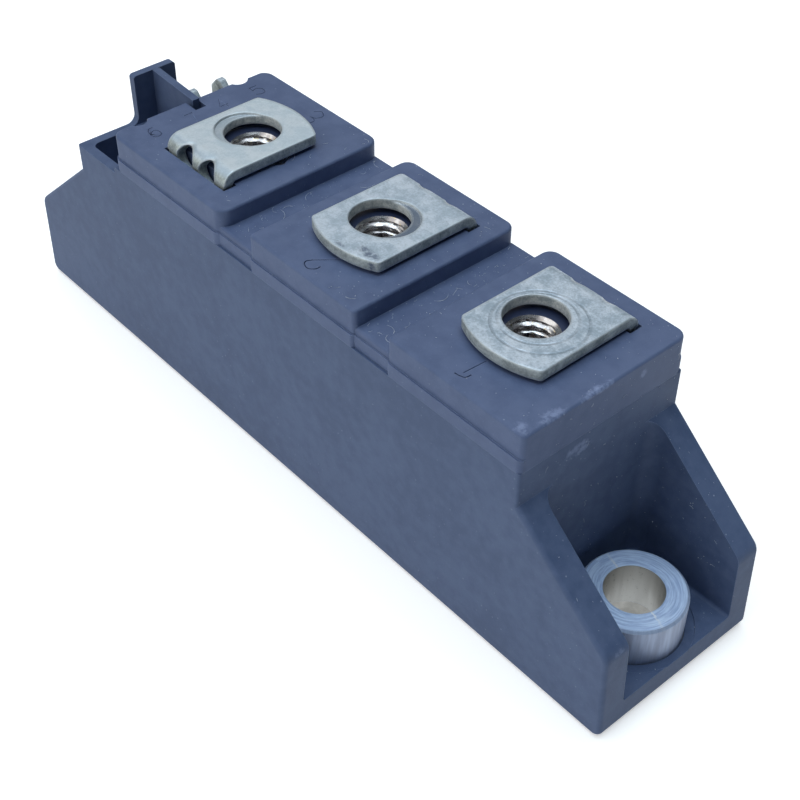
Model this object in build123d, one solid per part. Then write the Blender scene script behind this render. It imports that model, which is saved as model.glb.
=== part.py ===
from build123d import *
import math
import os

# Thyristor diode module in the flat 20 mm wide case. All sizes are in millimetres.
# X runs along the module, +X towards terminal 1. -Y is the long side with the bend of terminal 3.
# +Z is up. The origin is the centre of the mounting face, midway between the two fixing holes.

# Overall length and where the fixing holes and the body's ends stand in it
overall_length = 92.0
hole_to_lug_end = 6.0
hole_to_body_end = 6.0

# Overall section, with the heights counted down from the terminals' tops
body_width = 20.2
terminal_height = 29.8
tab_lift = 0.45
pad_step = 1.9
valley_rise = 2.2

# Moulded housing
wall = 1.15
inner_corner_radius = 0.8
underside_gap = 0.2
seat_ledge_width = 0.75
seat_ledge_height = 1.5

# Open lug recesses at both ends
cheek_thickness = 2.85
cheek_shoulder_drop = 3.75
cheek_tip_height = 10.75
cheek_tip_inset = 0.5
cheek_tip_radius = 1.5
cheek_toe_radius = 1.0
cheek_edge_radius = 0.45
body_corner_radius = 0.3
lug_floor_height = 3.3
recess_back_radius = 1.5
recess_floor_radius = 0.4
spot_face_width = 1.0
spot_face_depth = 0.15

# Connector well at the far end, with its T-shaped divider
well_length = 7.4
well_rim_drop = 0.7
well_back_rim_drop = 0.5
well_depth = 5.5
well_floor_thickness = 1.6
well_joint_gap = 0.05
divider_width = 5.34
divider_thickness = 0.9
divider_drop = 0.5
divider_corner_radius = 0.35
divider_root_radius = 1.1
rib_thickness = 0.85
rib_offset = 0.2
rib_overlap = 1.0
rib_end_drop = 0.5

# Base plate
plate_thickness = 2.5
plate_end_inset = 0.8
plate_corner_radius = 1.5
plate_clearance = 0.1

# Spacer bushings in the fixing holes
bushing_radius = 5.04
bushing_bore_radius = 2.86
bushing_height = 7.6
bushing_chamfer = 0.25
bushing_clearance = 0.08

# Lid
lid_overhang = 0.15
lid_shift = 0.15
flange_height = 1.4
valley_flange_inset = 0.25
slab_inset = 0.4
pad_inset = 0.2
top_edge_radius = 0.3
pad_near_corner_radius = 0.5
pad_back_corner_radius = 1.2
lid_far_corner_radius = 1.4
valley_width = 4.45
lid_wing_inset = 0.3
lid_bite_radius = 1.1
lid_bite_depth = 0.9
lid_bite_spacing = 13.0
lid_notch_clearance = 0.25
lid_notch_room = 1.1
lid_skirt_thickness = 1.0
lid_skirt_depth = 3.0
lid_clearance = 0.1

# Main terminals, punched and folded from strip
terminal_near_distance = 9.0
terminal_far_distance = 19.0
strip_thickness = 1.05
tab_width = 9.8
tab_hole_radius = 3.0
tab_end_arc_radius = 10.0
tab_corner_radius = 0.5
tab_bend_radius = 1.5
leg_width = 5.0
leg_shoulder_drop = 2.3
leg_shoulder_taper = 0.25
leg_clearance = 0.25
foot_reach = 3.2
window_radius = 1.35
window_spacing = 3.7
window_angle = 87.0
dent_radius = 3.1
dent_depth = 0.2
dent_offset_x = -0.77
dent_offset_y = -0.48

# How each terminal sits: its hole's shift from the nut and its distances to fold, end and leg centre
tab_1_shift_x = -0.13
tab_1_shift_y = 0.45
tab_1_fold_distance = 7.15
tab_1_end_distance = 6.11
tab_1_offset = 0.61
tab_2_shift_x = -0.19
tab_2_shift_y = -0.08
tab_2_fold_distance = 7.38
tab_2_end_distance = 6.06
tab_2_offset = 0.57
tab_3_shift_x = -0.36
tab_3_shift_y = 0.12
tab_3_fold_distance = 7.27
tab_3_end_distance = 5.57
tab_3_offset = 0.06

# Captive M5 nuts in hexagonal pockets
nut_flats = 8.0
nut_height = 4.0
nut_core_radius = 2.07
nut_mouth_radius = 2.6
nut_face_inset = 0.1
nut_sink = 0.1
nut_pocket_clearance = 0.25
screw_room_radius = 2.9
screw_room_depth = 5.0
boss_wall = 0.75
boss_floor = 1.0

# Insulating substrate and its copper tracks
substrate_end_gap = 4.0
substrate_side_gap = 1.25
copper_thickness = 0.3
ceramic_thickness = 0.63
copper_margin = 0.6
track_gap = 0.9
track_2_far_reach = 4.5
track_2_near_reach = 7.5
track_2_low_edge = 0.0

# Chips and their copper straps
chip_thickness = 0.4
chip_gap = 1.0
thyristor_size = 10.0
diode_size = 8.0
diode_y = 0.8
strap_thickness = 0.5
strap_width = 3.6
strap_rise = 2.4
strap_radius = 0.8
strap_inset = 0.5
strap_landing = 2.8
strap_contact = 4.6
thyristor_strap_y = -3.0
diode_strap_y = 2.1
gate_inset = 0.9

# Control tabs and their leads
control_tab_width = 2.8
control_tab_thickness = 0.8
control_tab_height = 9.1
control_tab_tip = 1.1
control_tab_tail = 2.5
control_tab_wall_distance = 4.1
gate_tab_y = 2.6
cathode_tab_y = 6.38
control_slot_clearance = 0.1
lead_radius = 0.4
lead_bend_radius = 1.6
gate_lead_drop = 3.4
cathode_lead_drop = 1.9

# Soft fill over the chips
gel_height = 9.0

# How near two coordinates must be to count as one
tolerance = 0.01

# Values that follow from the sizes above
pad_height = terminal_height - strip_thickness - tab_lift
valley_height = pad_height - pad_step
parting_height = valley_height - valley_rise
cheek_shoulder_height = parting_height - cheek_shoulder_drop
well_rim_height = parting_height - well_rim_drop
well_back_rim_height = well_rim_height - well_back_rim_drop
well_floor_height = well_rim_height - well_depth
divider_height = terminal_height - divider_drop
rib_end_height = divider_height - rib_end_drop
lug_end = overall_length / 2
hole_x = lug_end - hole_to_lug_end
body_end = hole_x - hole_to_body_end
body_half = body_width / 2
inner_half = body_half - wall
inner_end = body_end - wall
cheek_inner_half = body_half - cheek_thickness
ledge_top = plate_thickness + seat_ledge_height
plate_half_x = lug_end - plate_end_inset
plate_half_y = inner_half - plate_clearance
lid_far_edge = -body_end + well_length
lid_half = body_half + lid_overhang
shelf_bottom = well_floor_height - well_floor_thickness
rib_low_y = rib_offset - rib_thickness / 2
rib_high_y = rib_offset + rib_thickness / 2
terminal_pitch = (2 * body_end - terminal_near_distance - terminal_far_distance) / 2
hole_1_x = body_end - terminal_near_distance
hole_2_x = hole_1_x - terminal_pitch
hole_3_x = hole_2_x - terminal_pitch
tab_1_x = hole_1_x + tab_1_shift_x
tab_2_x = hole_2_x + tab_2_shift_x
tab_3_x = hole_3_x + tab_3_shift_x
leg_1_x = tab_1_x + tab_1_offset
leg_2_x = tab_2_x + tab_2_offset
leg_3_x = tab_3_x + tab_3_offset
leg_1_face = tab_1_fold_distance + tab_1_shift_y
leg_2_face = tab_2_fold_distance + tab_2_shift_y
leg_3_face = tab_3_fold_distance - tab_3_shift_y
pocket_flats = nut_flats + 2 * nut_pocket_clearance
nut_base = pad_height - nut_height - nut_sink
ceramic_base = plate_thickness + copper_thickness
track_base = ceramic_base + ceramic_thickness
track_top = track_base + copper_thickness
chip_top = track_top + chip_thickness
substrate_half_x = inner_end - substrate_end_gap
substrate_half_y = inner_half - substrate_side_gap
copper_half_x = substrate_half_x - copper_margin
copper_half_y = substrate_half_y - copper_margin
track_2_far_edge = hole_2_x - track_2_far_reach
track_2_near_edge = hole_2_x + track_2_near_reach
thyristor_x = leg_3_x + leg_width / 2 + chip_gap + thyristor_size / 2
diode_x = leg_1_x - leg_width / 2 - chip_gap - diode_size / 2
control_tab_x = -body_end + control_tab_wall_distance
control_tab_bottom = shelf_bottom - control_tab_tail


def block(x_span, y_span, z_span):
    """Plain block between the given low and high coordinates."""
    spans = (x_span, y_span, z_span)
    size = [high - low for low, high in spans]
    centre = [(high + low) / 2 for low, high in spans]
    return Pos(*centre) * Box(*size)


def cylinder(x, y, radius, z_low, z_high):
    """Upright cylinder between two heights."""
    return Pos(x, y, (z_low + z_high) / 2) * Cylinder(radius, z_high - z_low)


def slab(x_span, y_span, z_span, front_radius, back_radius):
    """Block with upright corners rounded by one radius on the -Y side and another on the +Y side."""
    outline = Rectangle(x_span[1] - x_span[0], y_span[1] - y_span[0])
    outline = Pos((x_span[0] + x_span[1]) / 2, (y_span[0] + y_span[1]) / 2) * outline
    outline = fillet(outline.vertices().group_by(Axis.Y)[0], front_radius)
    outline = fillet(outline.vertices().group_by(Axis.Y)[-1], back_radius)
    return Pos(0, 0, z_span[0]) * extrude(outline, amount=z_span[1] - z_span[0])


def hexagon(x, y, flats, z_low, z_high):
    """Upright hexagonal prism with two corners along X."""
    outline = RegularPolygon(radius=flats / math.sqrt(3), side_count=6)
    return Pos(x, y, z_low) * extrude(outline, amount=z_high - z_low)


def bent_strip(path, thickness, width, plane):
    """Strip of constant thickness that follows a path, centred on the plane that holds the path."""
    outline = make_face(offset(path, amount=thickness, side=Side.LEFT))
    return extrude(plane.offset(-width / 2) * outline, amount=width)


def side_outline():
    """Outline of the housing seen from the long side, with the sloping lug cheeks."""
    tip = Vector(lug_end - cheek_tip_inset, cheek_tip_height)
    toe = Vector(lug_end, underside_gap)
    half = Polyline(
        (0, underside_gap),
        toe,
        tip,
        (body_end, cheek_shoulder_height),
        (body_end, parting_height),
        (0, parting_height),
        close=True,
    )
    face = make_face(half)
    face = fillet(face.vertices().sort_by_distance((tip.X, tip.Y, 0))[0], cheek_tip_radius)
    face = fillet(face.vertices().sort_by_distance((toe.X, toe.Y, 0))[0], cheek_toe_radius)
    return face + mirror(face, Plane.YZ)


def lug_recess(side):
    """Room between two cheeks: open at the end and above, rounded at its back corners and floor."""
    depth = lug_end - body_end + 2 * recess_back_radius
    room = Box(depth, 2 * cheek_inner_half, parting_height)
    room = fillet(room.edges().filter_by(Axis.Z).sort_by(Axis.X)[:2], recess_back_radius)
    floor_edges = room.faces().sort_by(Axis.Z)[0].edges().filter_by(Axis.X)
    room = fillet(floor_edges, recess_floor_radius)
    room = Pos(body_end + depth / 2, 0, lug_floor_height + parting_height / 2) * room
    return room if side > 0 else mirror(room, Plane.YZ)


def well_floor():
    """Shelf at the bottom of the connector well, slotted for the control tabs."""
    shelf = block(
        (-body_end, lid_far_edge),
        (-body_half, body_half),
        (shelf_bottom, well_floor_height),
    )
    half_x = control_tab_width / 2 + control_slot_clearance
    half_y = control_tab_thickness / 2 + control_slot_clearance
    slot_x = (control_tab_x - half_x, control_tab_x + half_x)
    for tab_y in (gate_tab_y, cathode_tab_y):
        shelf -= block(slot_x, (tab_y - half_y, tab_y + half_y), (0, parting_height))
    return shelf


def divider():
    """T-shaped divider of the well: an end plate with a thin rib towards the lid."""
    plate = block(
        (-body_end, -body_end + divider_thickness),
        (-divider_width / 2, divider_width / 2),
        (well_floor_height, divider_height),
    )
    top_corners = plate.edges().filter_by(Axis.X).group_by(Axis.Z)[-1]
    plate = fillet(top_corners, divider_corner_radius)
    rib_start = -body_end + divider_thickness / 2
    rib_end = lid_far_edge + rib_overlap
    profile = Polyline(
        (rib_start, well_floor_height),
        (rib_end, well_floor_height),
        (rib_end, rib_end_height),
        (rib_start, divider_height),
        close=True,
    )
    rib = extrude(Plane.XZ.offset(-rib_high_y) * make_face(profile), amount=rib_thickness)
    return plate + rib


def housing():
    """One moulded housing: open box, two lugs with open recesses, connector well and divider."""
    shell = extrude(Plane.XZ.offset(-body_half) * side_outline(), amount=body_width)
    outer_edges = [
        edge
        for edge in shell.edges()
        if abs(edge.center().X) > lug_end - cheek_tip_inset - cheek_edge_radius
        and abs(edge.center().Y) > body_half - cheek_edge_radius
        and edge.length > cheek_tip_height / 2
    ]
    shell = fillet(outer_edges, cheek_edge_radius)
    body_corners = [
        edge
        for edge in shell.edges().filter_by(Axis.Z)
        if abs(abs(edge.center().X) - body_end) < tolerance and edge.center().Z > cheek_shoulder_height
    ]
    shell = fillet(body_corners, body_corner_radius)
    shell -= lug_recess(1)
    shell -= lug_recess(-1)
    shell -= slab(
        (-inner_end, inner_end),
        (-inner_half, inner_half),
        (ledge_top, pad_height),
        inner_corner_radius,
        inner_corner_radius,
    )
    ledge_half = inner_half - seat_ledge_width
    ledge_end = inner_end - seat_ledge_width
    shell -= block((-ledge_end, ledge_end), (-ledge_half, ledge_half), (0, ledge_top))
    shell += well_floor()
    well_x = (-lug_end, lid_far_edge)
    shell -= block(well_x, (-body_width, 0), (well_rim_height, pad_height))
    shell -= block(well_x, (0, body_width), (well_back_rim_height, pad_height))
    shell += divider()
    for side, rim in ((-1, well_rim_height), (1, well_back_rim_height)):
        corner = Vector(-body_end + wall / 2, side * divider_width / 2, rim)
        root = shell.edges().filter_by(Axis.X).sort_by_distance(corner)[0]
        shell = fillet(root, divider_root_radius)
    pocket_x = plate_half_x + plate_clearance
    pocket_y = plate_half_y + plate_clearance
    shell -= slab(
        (-pocket_x, pocket_x),
        (-pocket_y, pocket_y),
        (0, plate_thickness),
        plate_corner_radius,
        plate_corner_radius,
    )
    spot_face_radius = bushing_radius + spot_face_width
    spot_face_height = lug_floor_height - spot_face_depth
    for x in (-hole_x, hole_x):
        shell -= cylinder(x, 0, bushing_radius + bushing_clearance, 0, bushing_height)
        shell -= cylinder(x, 0, spot_face_radius, spot_face_height, bushing_height)
    return shell


def base_plate():
    """Flat metal plate under the module, with the two fixing holes."""
    plate = slab(
        (-plate_half_x, plate_half_x),
        (-plate_half_y, plate_half_y),
        (0, plate_thickness),
        plate_corner_radius,
        plate_corner_radius,
    )
    for x in (-hole_x, hole_x):
        plate -= cylinder(x, 0, bushing_bore_radius, 0, plate_thickness)
    return plate


def bushing(x):
    """Turned spacer that stands on the base plate round a fixing hole."""
    ring = cylinder(x, 0, bushing_radius, plate_thickness, bushing_height)
    ring = chamfer(ring.edges().group_by(Axis.Z)[-1], bushing_chamfer)
    return ring - cylinder(x, 0, bushing_bore_radius, plate_thickness, bushing_height)


def lid_cover():
    """Top of the lid: slab with its side flange, and the three raised pads with two valleys."""
    far = lid_far_edge
    valley_1 = hole_1_x - terminal_pitch / 2
    valley_2 = hole_2_x - terminal_pitch / 2
    pads = [
        (valley_1 + valley_width / 2, body_end),
        (valley_2 + valley_width / 2, valley_1 - valley_width / 2),
        (far, valley_2 - valley_width / 2),
    ]
    slab_half = lid_half - slab_inset
    valley_flange_half = lid_half - valley_flange_inset
    pad_half = lid_half - pad_inset
    flange_top = parting_height + flange_height
    cover = slab(
        (far + lid_wing_inset, body_end - lid_wing_inset),
        (-slab_half, slab_half),
        (parting_height, valley_height),
        pad_near_corner_radius,
        pad_back_corner_radius,
    )
    long_edges = cover.edges().filter_by(Axis.X).group_by(Axis.Z)[-1]
    cover = fillet(long_edges, top_edge_radius)
    cover += block(
        (pads[2][1] - valley_width, pads[0][0] + valley_width),
        (-valley_flange_half, valley_flange_half),
        (parting_height, flange_top),
    )
    for low, high in pads:
        front = lid_far_corner_radius if low == far else pad_near_corner_radius
        back = lid_far_corner_radius if low == far else pad_back_corner_radius
        pad = slab((low, high), (-pad_half, pad_half), (parting_height, pad_height), front, back)
        pad = fillet(pad.faces().sort_by(Axis.Z)[-1].edges(), top_edge_radius)
        flange = slab((low, high), (-lid_half, lid_half), (parting_height, flange_top), front, back)
        cover += pad + flange
    return cover


def lid_far_end(cover):
    """Cut the lid's far edge: stepped wings, two round bites and the notch for the divider's rib."""
    tall = (shelf_bottom, terminal_height)
    half_spacing = lid_bite_spacing / 2
    for side in (-1, 1):
        wing_y = sorted((side * half_spacing, side * body_width))
        cover -= block((-body_end, lid_far_edge + lid_wing_inset), wing_y, tall)
        bite_x = lid_far_edge + lid_bite_depth - lid_bite_radius
        cover -= cylinder(bite_x, side * half_spacing, lid_bite_radius, *tall)
    notch_end = lid_far_edge + rib_overlap + lid_notch_room
    notch_y = (rib_low_y - lid_notch_clearance - lid_shift, rib_high_y + lid_notch_clearance - lid_shift)
    floor = well_floor_height - lid_notch_clearance
    return cover - block((-body_end, notch_end), notch_y, (floor, terminal_height))


def lid_skirt():
    """Rim under the lid that plugs into the housing, with the partition beside the connector well."""
    outer_x = inner_end - lid_clearance
    outer_y = inner_half - lid_clearance
    inner_x = outer_x - lid_skirt_thickness
    inner_y = outer_y - lid_skirt_thickness
    far = lid_far_edge + well_joint_gap
    span_z = (parting_height - lid_skirt_depth, parting_height)
    rim = slab((far, outer_x), (-outer_y, outer_y), span_z, inner_corner_radius, inner_corner_radius)
    rim -= block((far + lid_skirt_thickness, inner_x), (-inner_y, inner_y), span_z)
    partition = block(
        (far, far + lid_skirt_thickness), (-outer_y, outer_y), (shelf_bottom, parting_height)
    )
    return rim + partition


def nut_boss(x):
    """Boss under a pad that holds the nut and leaves room for the screw's end."""
    half_x = pocket_flats / math.sqrt(3) + boss_wall
    half_y = pocket_flats / 2 + boss_wall
    low = nut_base - screw_room_depth - boss_floor
    return block((x - half_x, x + half_x), (-half_y, half_y), (low, parting_height))


def lid():
    """Moulded lid with three terminal pads, nut pockets and slots for the terminal legs."""
    cover = lid_far_end(Pos(0, lid_shift, 0) * lid_cover())
    skirt = lid_far_end(lid_skirt())
    body = cover + skirt
    for x in (hole_1_x, hole_2_x, hole_3_x):
        body += nut_boss(x)
        body -= hexagon(x, 0, pocket_flats, nut_base, terminal_height)
        body -= cylinder(x, 0, screw_room_radius, nut_base - screw_room_depth, nut_base)
    slot_half = tab_width / 2 + leg_clearance
    legs = ((leg_1_x, leg_1_face, 1), (leg_2_x, leg_2_face, 1), (leg_3_x, leg_3_face, -1))
    for x, outer_face, side in legs:
        inner_face = outer_face - strip_thickness
        y_span = sorted((side * (inner_face - leg_clearance), side * (outer_face + leg_clearance)))
        body -= block((x - slot_half, x + slot_half), y_span, (shelf_bottom, terminal_height))
    return body


def nut(x):
    """Hexagonal nut with turned corners and a bore at the thread's core size."""
    corner_radius = nut_flats / math.sqrt(3)
    face_radius = nut_flats / 2 - nut_face_inset
    rise = (corner_radius - face_radius) * math.tan(math.radians(30))
    profile = Polyline(
        (0, 0),
        (face_radius, 0),
        (corner_radius, rise),
        (corner_radius, nut_height - rise),
        (face_radius, nut_height),
        (0, nut_height),
        close=True,
    )
    envelope = revolve(Plane.XZ * make_face(profile), Axis.Z)
    body = hexagon(0, 0, nut_flats, 0, nut_height) & envelope
    mouth_depth = nut_mouth_radius - nut_core_radius
    body -= cylinder(0, 0, nut_core_radius, 0, nut_height)
    for z in (0, nut_height):
        cone = Cone(nut_mouth_radius, nut_core_radius, mouth_depth)
        tilt = 0 if z == 0 else 180
        shift = mouth_depth / 2 if z == 0 else -mouth_depth / 2
        body -= Pos(0, 0, z + shift) * Rot(tilt, 0, 0) * cone
    return Pos(x, 0, nut_base) * body


def tab_plan(fold_distance, end_distance):
    """Plan of a terminal round its hole: parallel sides and an arched free end with small corners."""
    long_side = 2 * (fold_distance + end_distance)
    plan = Pos(0, end_distance - tab_end_arc_radius) * Circle(tab_end_arc_radius)
    plan += Pos(0, end_distance - tab_end_arc_radius - long_side / 2) * Rectangle(tab_width, long_side)
    plan &= Pos(0, end_distance - long_side / 2) * Rectangle(tab_width, long_side)
    corners = plan.vertices().group_by(Axis.Y)[-1]
    return fillet(corners, tab_corner_radius)


def leg_waist(fold_z):
    """Material punched away beside a leg: tapered shoulders under the fold, then the narrow leg."""
    half_tab = tab_width / 2
    half_shoulder = half_tab - leg_shoulder_taper
    shoulder = pad_height - leg_shoulder_drop
    outline = Polyline(
        (half_tab, fold_z),
        (half_shoulder, pad_height),
        (half_shoulder, shoulder),
        (leg_width / 2, shoulder),
        (leg_width / 2, 0),
        (tab_width, 0),
        (tab_width, fold_z),
        close=True,
    )
    waist = extrude(Plane.XZ.offset(-body_width / 2) * make_face(outline), amount=body_width)
    return waist + mirror(waist, Plane.YZ)


def terminal(x, y, offset, fold_distance, end_distance, dented, side):
    """Main terminal, drawn with its hole at the origin and its fold at -Y, then turned and placed."""
    path = FilletPolyline(
        (2 * end_distance, terminal_height),
        (-fold_distance, terminal_height),
        (-fold_distance, track_top),
        (-fold_distance + foot_reach, track_top),
        radius=tab_bend_radius,
    )
    strip = bent_strip(path, strip_thickness, tab_width, Plane.YZ)
    strip &= extrude(tab_plan(fold_distance, end_distance), amount=terminal_height)
    fold_y = -fold_distance + tab_bend_radius
    fold_z = terminal_height - tab_bend_radius
    strip -= leg_waist(fold_z)
    drill = Pos(0, fold_y, fold_z) * Rot(window_angle, 0, 0) * Pos(0, 0, tab_bend_radius)
    for window_x in (-window_spacing / 2, window_spacing / 2):
        strip -= Pos(window_x, 0, 0) * drill * Cylinder(window_radius, 2 * tab_bend_radius)
    strip = Pos(-side * offset, 0, 0) * strip
    strip -= cylinder(0, 0, tab_hole_radius, pad_height, terminal_height)
    if dented:
        dent_floor = terminal_height - dent_depth
        strip -= cylinder(dent_offset_x, dent_offset_y, dent_radius, dent_floor, terminal_height)
    return Pos(x, y, 0) * Rot(0, 0, 180 if side > 0 else 0) * strip


def terminals():
    """The three main terminals: two fold down at the +Y side, the third at the -Y side."""
    terminal_1 = terminal(
        tab_1_x, tab_1_shift_y, tab_1_offset, tab_1_fold_distance, tab_1_end_distance, False, 1
    )
    terminal_2 = terminal(
        tab_2_x, tab_2_shift_y, tab_2_offset, tab_2_fold_distance, tab_2_end_distance, True, 1
    )
    terminal_3 = terminal(
        tab_3_x, tab_3_shift_y, tab_3_offset, tab_3_fold_distance, tab_3_end_distance, True, -1
    )
    return terminal_1, terminal_2, terminal_3


def substrate():
    """Insulating sandwich under the chips: lower copper and ceramic."""
    lower = block(
        (-copper_half_x, copper_half_x), (-copper_half_y, copper_half_y), (plate_thickness, ceramic_base)
    )
    ceramic = block(
        (-substrate_half_x, substrate_half_x),
        (-substrate_half_y, substrate_half_y),
        (ceramic_base, track_base),
    )
    return lower, ceramic


def tracks():
    """Upper copper of the substrate, etched into one track for each main terminal."""
    span_z = (track_base, track_top)
    whole_y = (-copper_half_y, copper_half_y)
    track_1 = block((track_2_far_edge, copper_half_x), whole_y, span_z)
    track_1 -= block(
        (track_2_far_edge, track_2_near_edge + track_gap),
        (track_2_low_edge - track_gap, copper_half_y),
        span_z,
    )
    track_2 = block((track_2_far_edge, track_2_near_edge), (track_2_low_edge, copper_half_y), span_z)
    track_3 = block((-copper_half_x, track_2_far_edge - track_gap), whole_y, span_z)
    return track_1, track_2, track_3


def chip(x, y, size):
    """Square silicon chip soldered on a track."""
    return block((x - size / 2, x + size / 2), (y - size / 2, y + size / 2), (track_top, chip_top))


def strap(contact_x, landing_x, y):
    """Copper strap from a chip's top over a gap to the next track."""
    heading = 1 if landing_x > contact_x else -1
    span = abs(landing_x - contact_x)
    path = FilletPolyline(
        (0, chip_top),
        (strap_contact, chip_top),
        (strap_contact, chip_top + strap_rise),
        (span - strap_landing, chip_top + strap_rise),
        (span - strap_landing, track_top),
        (span, track_top),
        radius=strap_radius,
    )
    strip = bent_strip(path, strap_thickness, strap_width, Plane.XZ)
    if heading < 0:
        strip = mirror(strip, Plane.YZ)
    return Pos(contact_x, y, 0) * strip


def straps():
    """The straps of the thyristor and of the diode."""
    thyristor_start = thyristor_x + thyristor_size / 2 - strap_inset - strap_contact
    thyristor_strap = strap(
        thyristor_start, track_2_far_edge + strap_inset + strap_landing, thyristor_strap_y
    )
    diode_start = diode_x - diode_size / 2 + strap_inset + strap_contact
    diode_strap = strap(diode_start, track_2_near_edge - strap_inset - strap_landing, diode_strap_y)
    return thyristor_strap, diode_strap


def control_tab(y):
    """Flat push-on tab with a tapered tip, held in the slot of the well's floor."""
    half = control_tab_width / 2
    top = well_floor_height + control_tab_height
    profile = Polyline(
        (-half, control_tab_bottom),
        (half, control_tab_bottom),
        (half, top - control_tab_tip),
        (half - control_tab_tip, top),
        (-half + control_tab_tip, top),
        (-half, top - control_tab_tip),
        close=True,
    )
    blade = extrude(Plane.XZ.offset(-control_tab_thickness / 2) * make_face(profile), control_tab_thickness)
    return Pos(control_tab_x, y, 0) * blade


def lead(start_y, drop, end):
    """Round lead from a control tab's lower end to a point on a chip or strap."""
    level = control_tab_bottom - drop
    path = FilletPolyline(
        (control_tab_x, start_y, control_tab_bottom),
        (control_tab_x, start_y, level),
        (end[0], end[1], level),
        end,
        radius=lead_bend_radius,
    )
    section = Plane(origin=path @ 0, z_dir=path % 0) * Circle(lead_radius)
    return sweep(section, path=path)


def leads():
    """Gate and cathode leads."""
    gate_x = thyristor_x - thyristor_size / 2 + gate_inset
    gate_y = thyristor_size / 2 - gate_inset
    strap_x = thyristor_x + thyristor_size / 2 - strap_inset - strap_contact / 2 - strap_radius
    gate = lead(gate_tab_y, gate_lead_drop, (gate_x, gate_y, chip_top))
    cathode = lead(
        cathode_tab_y, cathode_lead_drop, (strap_x, thyristor_strap_y, chip_top + strap_thickness)
    )
    return gate, cathode


def gel(immersed):
    """Soft fill in the lower part of the housing, shaped round everything it covers."""
    ledge_end = inner_end - seat_ledge_width
    ledge_half = inner_half - seat_ledge_width
    fill = block((-ledge_end, ledge_end), (-ledge_half, ledge_half), (plate_thickness, ledge_top))
    fill += slab(
        (-inner_end, inner_end),
        (-inner_half, inner_half),
        (ledge_top, gel_height),
        inner_corner_radius,
        inner_corner_radius,
    )
    for piece in immersed:
        fill -= piece
    return fill


def build():
    """Every piece of the module by name."""
    lower_copper, ceramic = substrate()
    track_1, track_2, track_3 = tracks()
    thyristor_strap, diode_strap = straps()
    gate_lead, cathode_lead = leads()
    terminal_1, terminal_2, terminal_3 = terminals()
    pieces = {
        "housing": housing(),
        "lid": lid(),
        "base_plate": base_plate(),
        "bushing_front": bushing(hole_x),
        "bushing_rear": bushing(-hole_x),
        "terminal_1": terminal_1,
        "terminal_2": terminal_2,
        "terminal_3": terminal_3,
        "nut_1": nut(hole_1_x),
        "nut_2": nut(hole_2_x),
        "nut_3": nut(hole_3_x),
        "gate_tab": control_tab(gate_tab_y),
        "cathode_tab": control_tab(cathode_tab_y),
    }
    inner = {
        "substrate_lower_copper": lower_copper,
        "substrate_ceramic": ceramic,
        "track_1": track_1,
        "track_2": track_2,
        "track_3": track_3,
        "thyristor_chip": chip(thyristor_x, 0, thyristor_size),
        "diode_chip": chip(diode_x, diode_y, diode_size),
        "thyristor_strap": thyristor_strap,
        "diode_strap": diode_strap,
        "gate_lead": gate_lead,
        "cathode_lead": cathode_lead,
    }
    covered = [*inner.values(), terminal_1, terminal_2, terminal_3]
    pieces.update(inner)
    pieces["silicone_gel"] = gel(covered)
    return pieces


os.makedirs("parts", exist_ok=True)
for name, piece in build().items():
    export_step(piece, f"parts/{name}.step")
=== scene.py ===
"""Looks of a thyristor diode module: finishes, engraved numerals, threaded nuts, dust and a studio."""

import logging
import math
import random
from collections.abc import Callable, Mapping, Sequence
from dataclasses import dataclass, field
from enum import Enum

import bmesh
import bpy
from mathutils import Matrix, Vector
from mathutils.bvhtree import BVHTree


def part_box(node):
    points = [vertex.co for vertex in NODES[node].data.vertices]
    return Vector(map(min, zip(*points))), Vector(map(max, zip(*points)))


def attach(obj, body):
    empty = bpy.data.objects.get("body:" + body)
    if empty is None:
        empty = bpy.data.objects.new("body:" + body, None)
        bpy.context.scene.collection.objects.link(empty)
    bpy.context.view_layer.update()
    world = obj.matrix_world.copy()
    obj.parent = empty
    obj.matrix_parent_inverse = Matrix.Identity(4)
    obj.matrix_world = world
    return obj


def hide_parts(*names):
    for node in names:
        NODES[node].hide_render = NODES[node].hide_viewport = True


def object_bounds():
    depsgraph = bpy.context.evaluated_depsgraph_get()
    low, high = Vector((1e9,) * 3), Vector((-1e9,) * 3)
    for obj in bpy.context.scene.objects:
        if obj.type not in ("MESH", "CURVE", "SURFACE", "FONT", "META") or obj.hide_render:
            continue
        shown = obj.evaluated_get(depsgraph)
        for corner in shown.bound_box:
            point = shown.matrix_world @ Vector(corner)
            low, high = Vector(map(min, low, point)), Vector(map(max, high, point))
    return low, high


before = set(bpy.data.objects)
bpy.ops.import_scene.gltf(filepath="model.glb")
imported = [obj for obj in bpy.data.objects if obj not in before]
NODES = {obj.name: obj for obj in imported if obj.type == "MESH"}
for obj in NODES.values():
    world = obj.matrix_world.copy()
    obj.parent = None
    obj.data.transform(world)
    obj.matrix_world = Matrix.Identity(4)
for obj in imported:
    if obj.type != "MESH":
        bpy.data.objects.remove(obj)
CAD_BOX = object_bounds()
LOG = logging.getLogger("module_scene")
MM = 0.001

Colour = tuple[float, float, float]
Point2 = tuple[float, float]
Point3 = tuple[float, float, float]
Stroke = tuple[Point2, ...]
Glyph = tuple[Stroke, ...]
Spot = tuple[Vector, Vector]
Socket = bpy.types.NodeSocket
Node = bpy.types.Node
Piece = bpy.types.Object


def srgb(red: int, green: int, blue: int) -> Colour:
    """Turn a display colour into the linear values that shaders take.

    Args:
        red: Red, 0 to 255.
        green: Green, 0 to 255.
        blue: Blue, 0 to 255.

    Returns:
        The linear colour.
    """
    def linear(value: int) -> float:
        """Linear value of one channel."""
        share = value / 255
        return share / 12.92 if share <= 0.04045 else ((share + 0.055) / 1.055) ** 2.4

    return linear(red), linear(green), linear(blue)


class Slot(Enum):
    """The record's material slots of the pieces that this script makes."""

    LID = "lid_plastic"
    NUT = "nut_plating"


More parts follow.
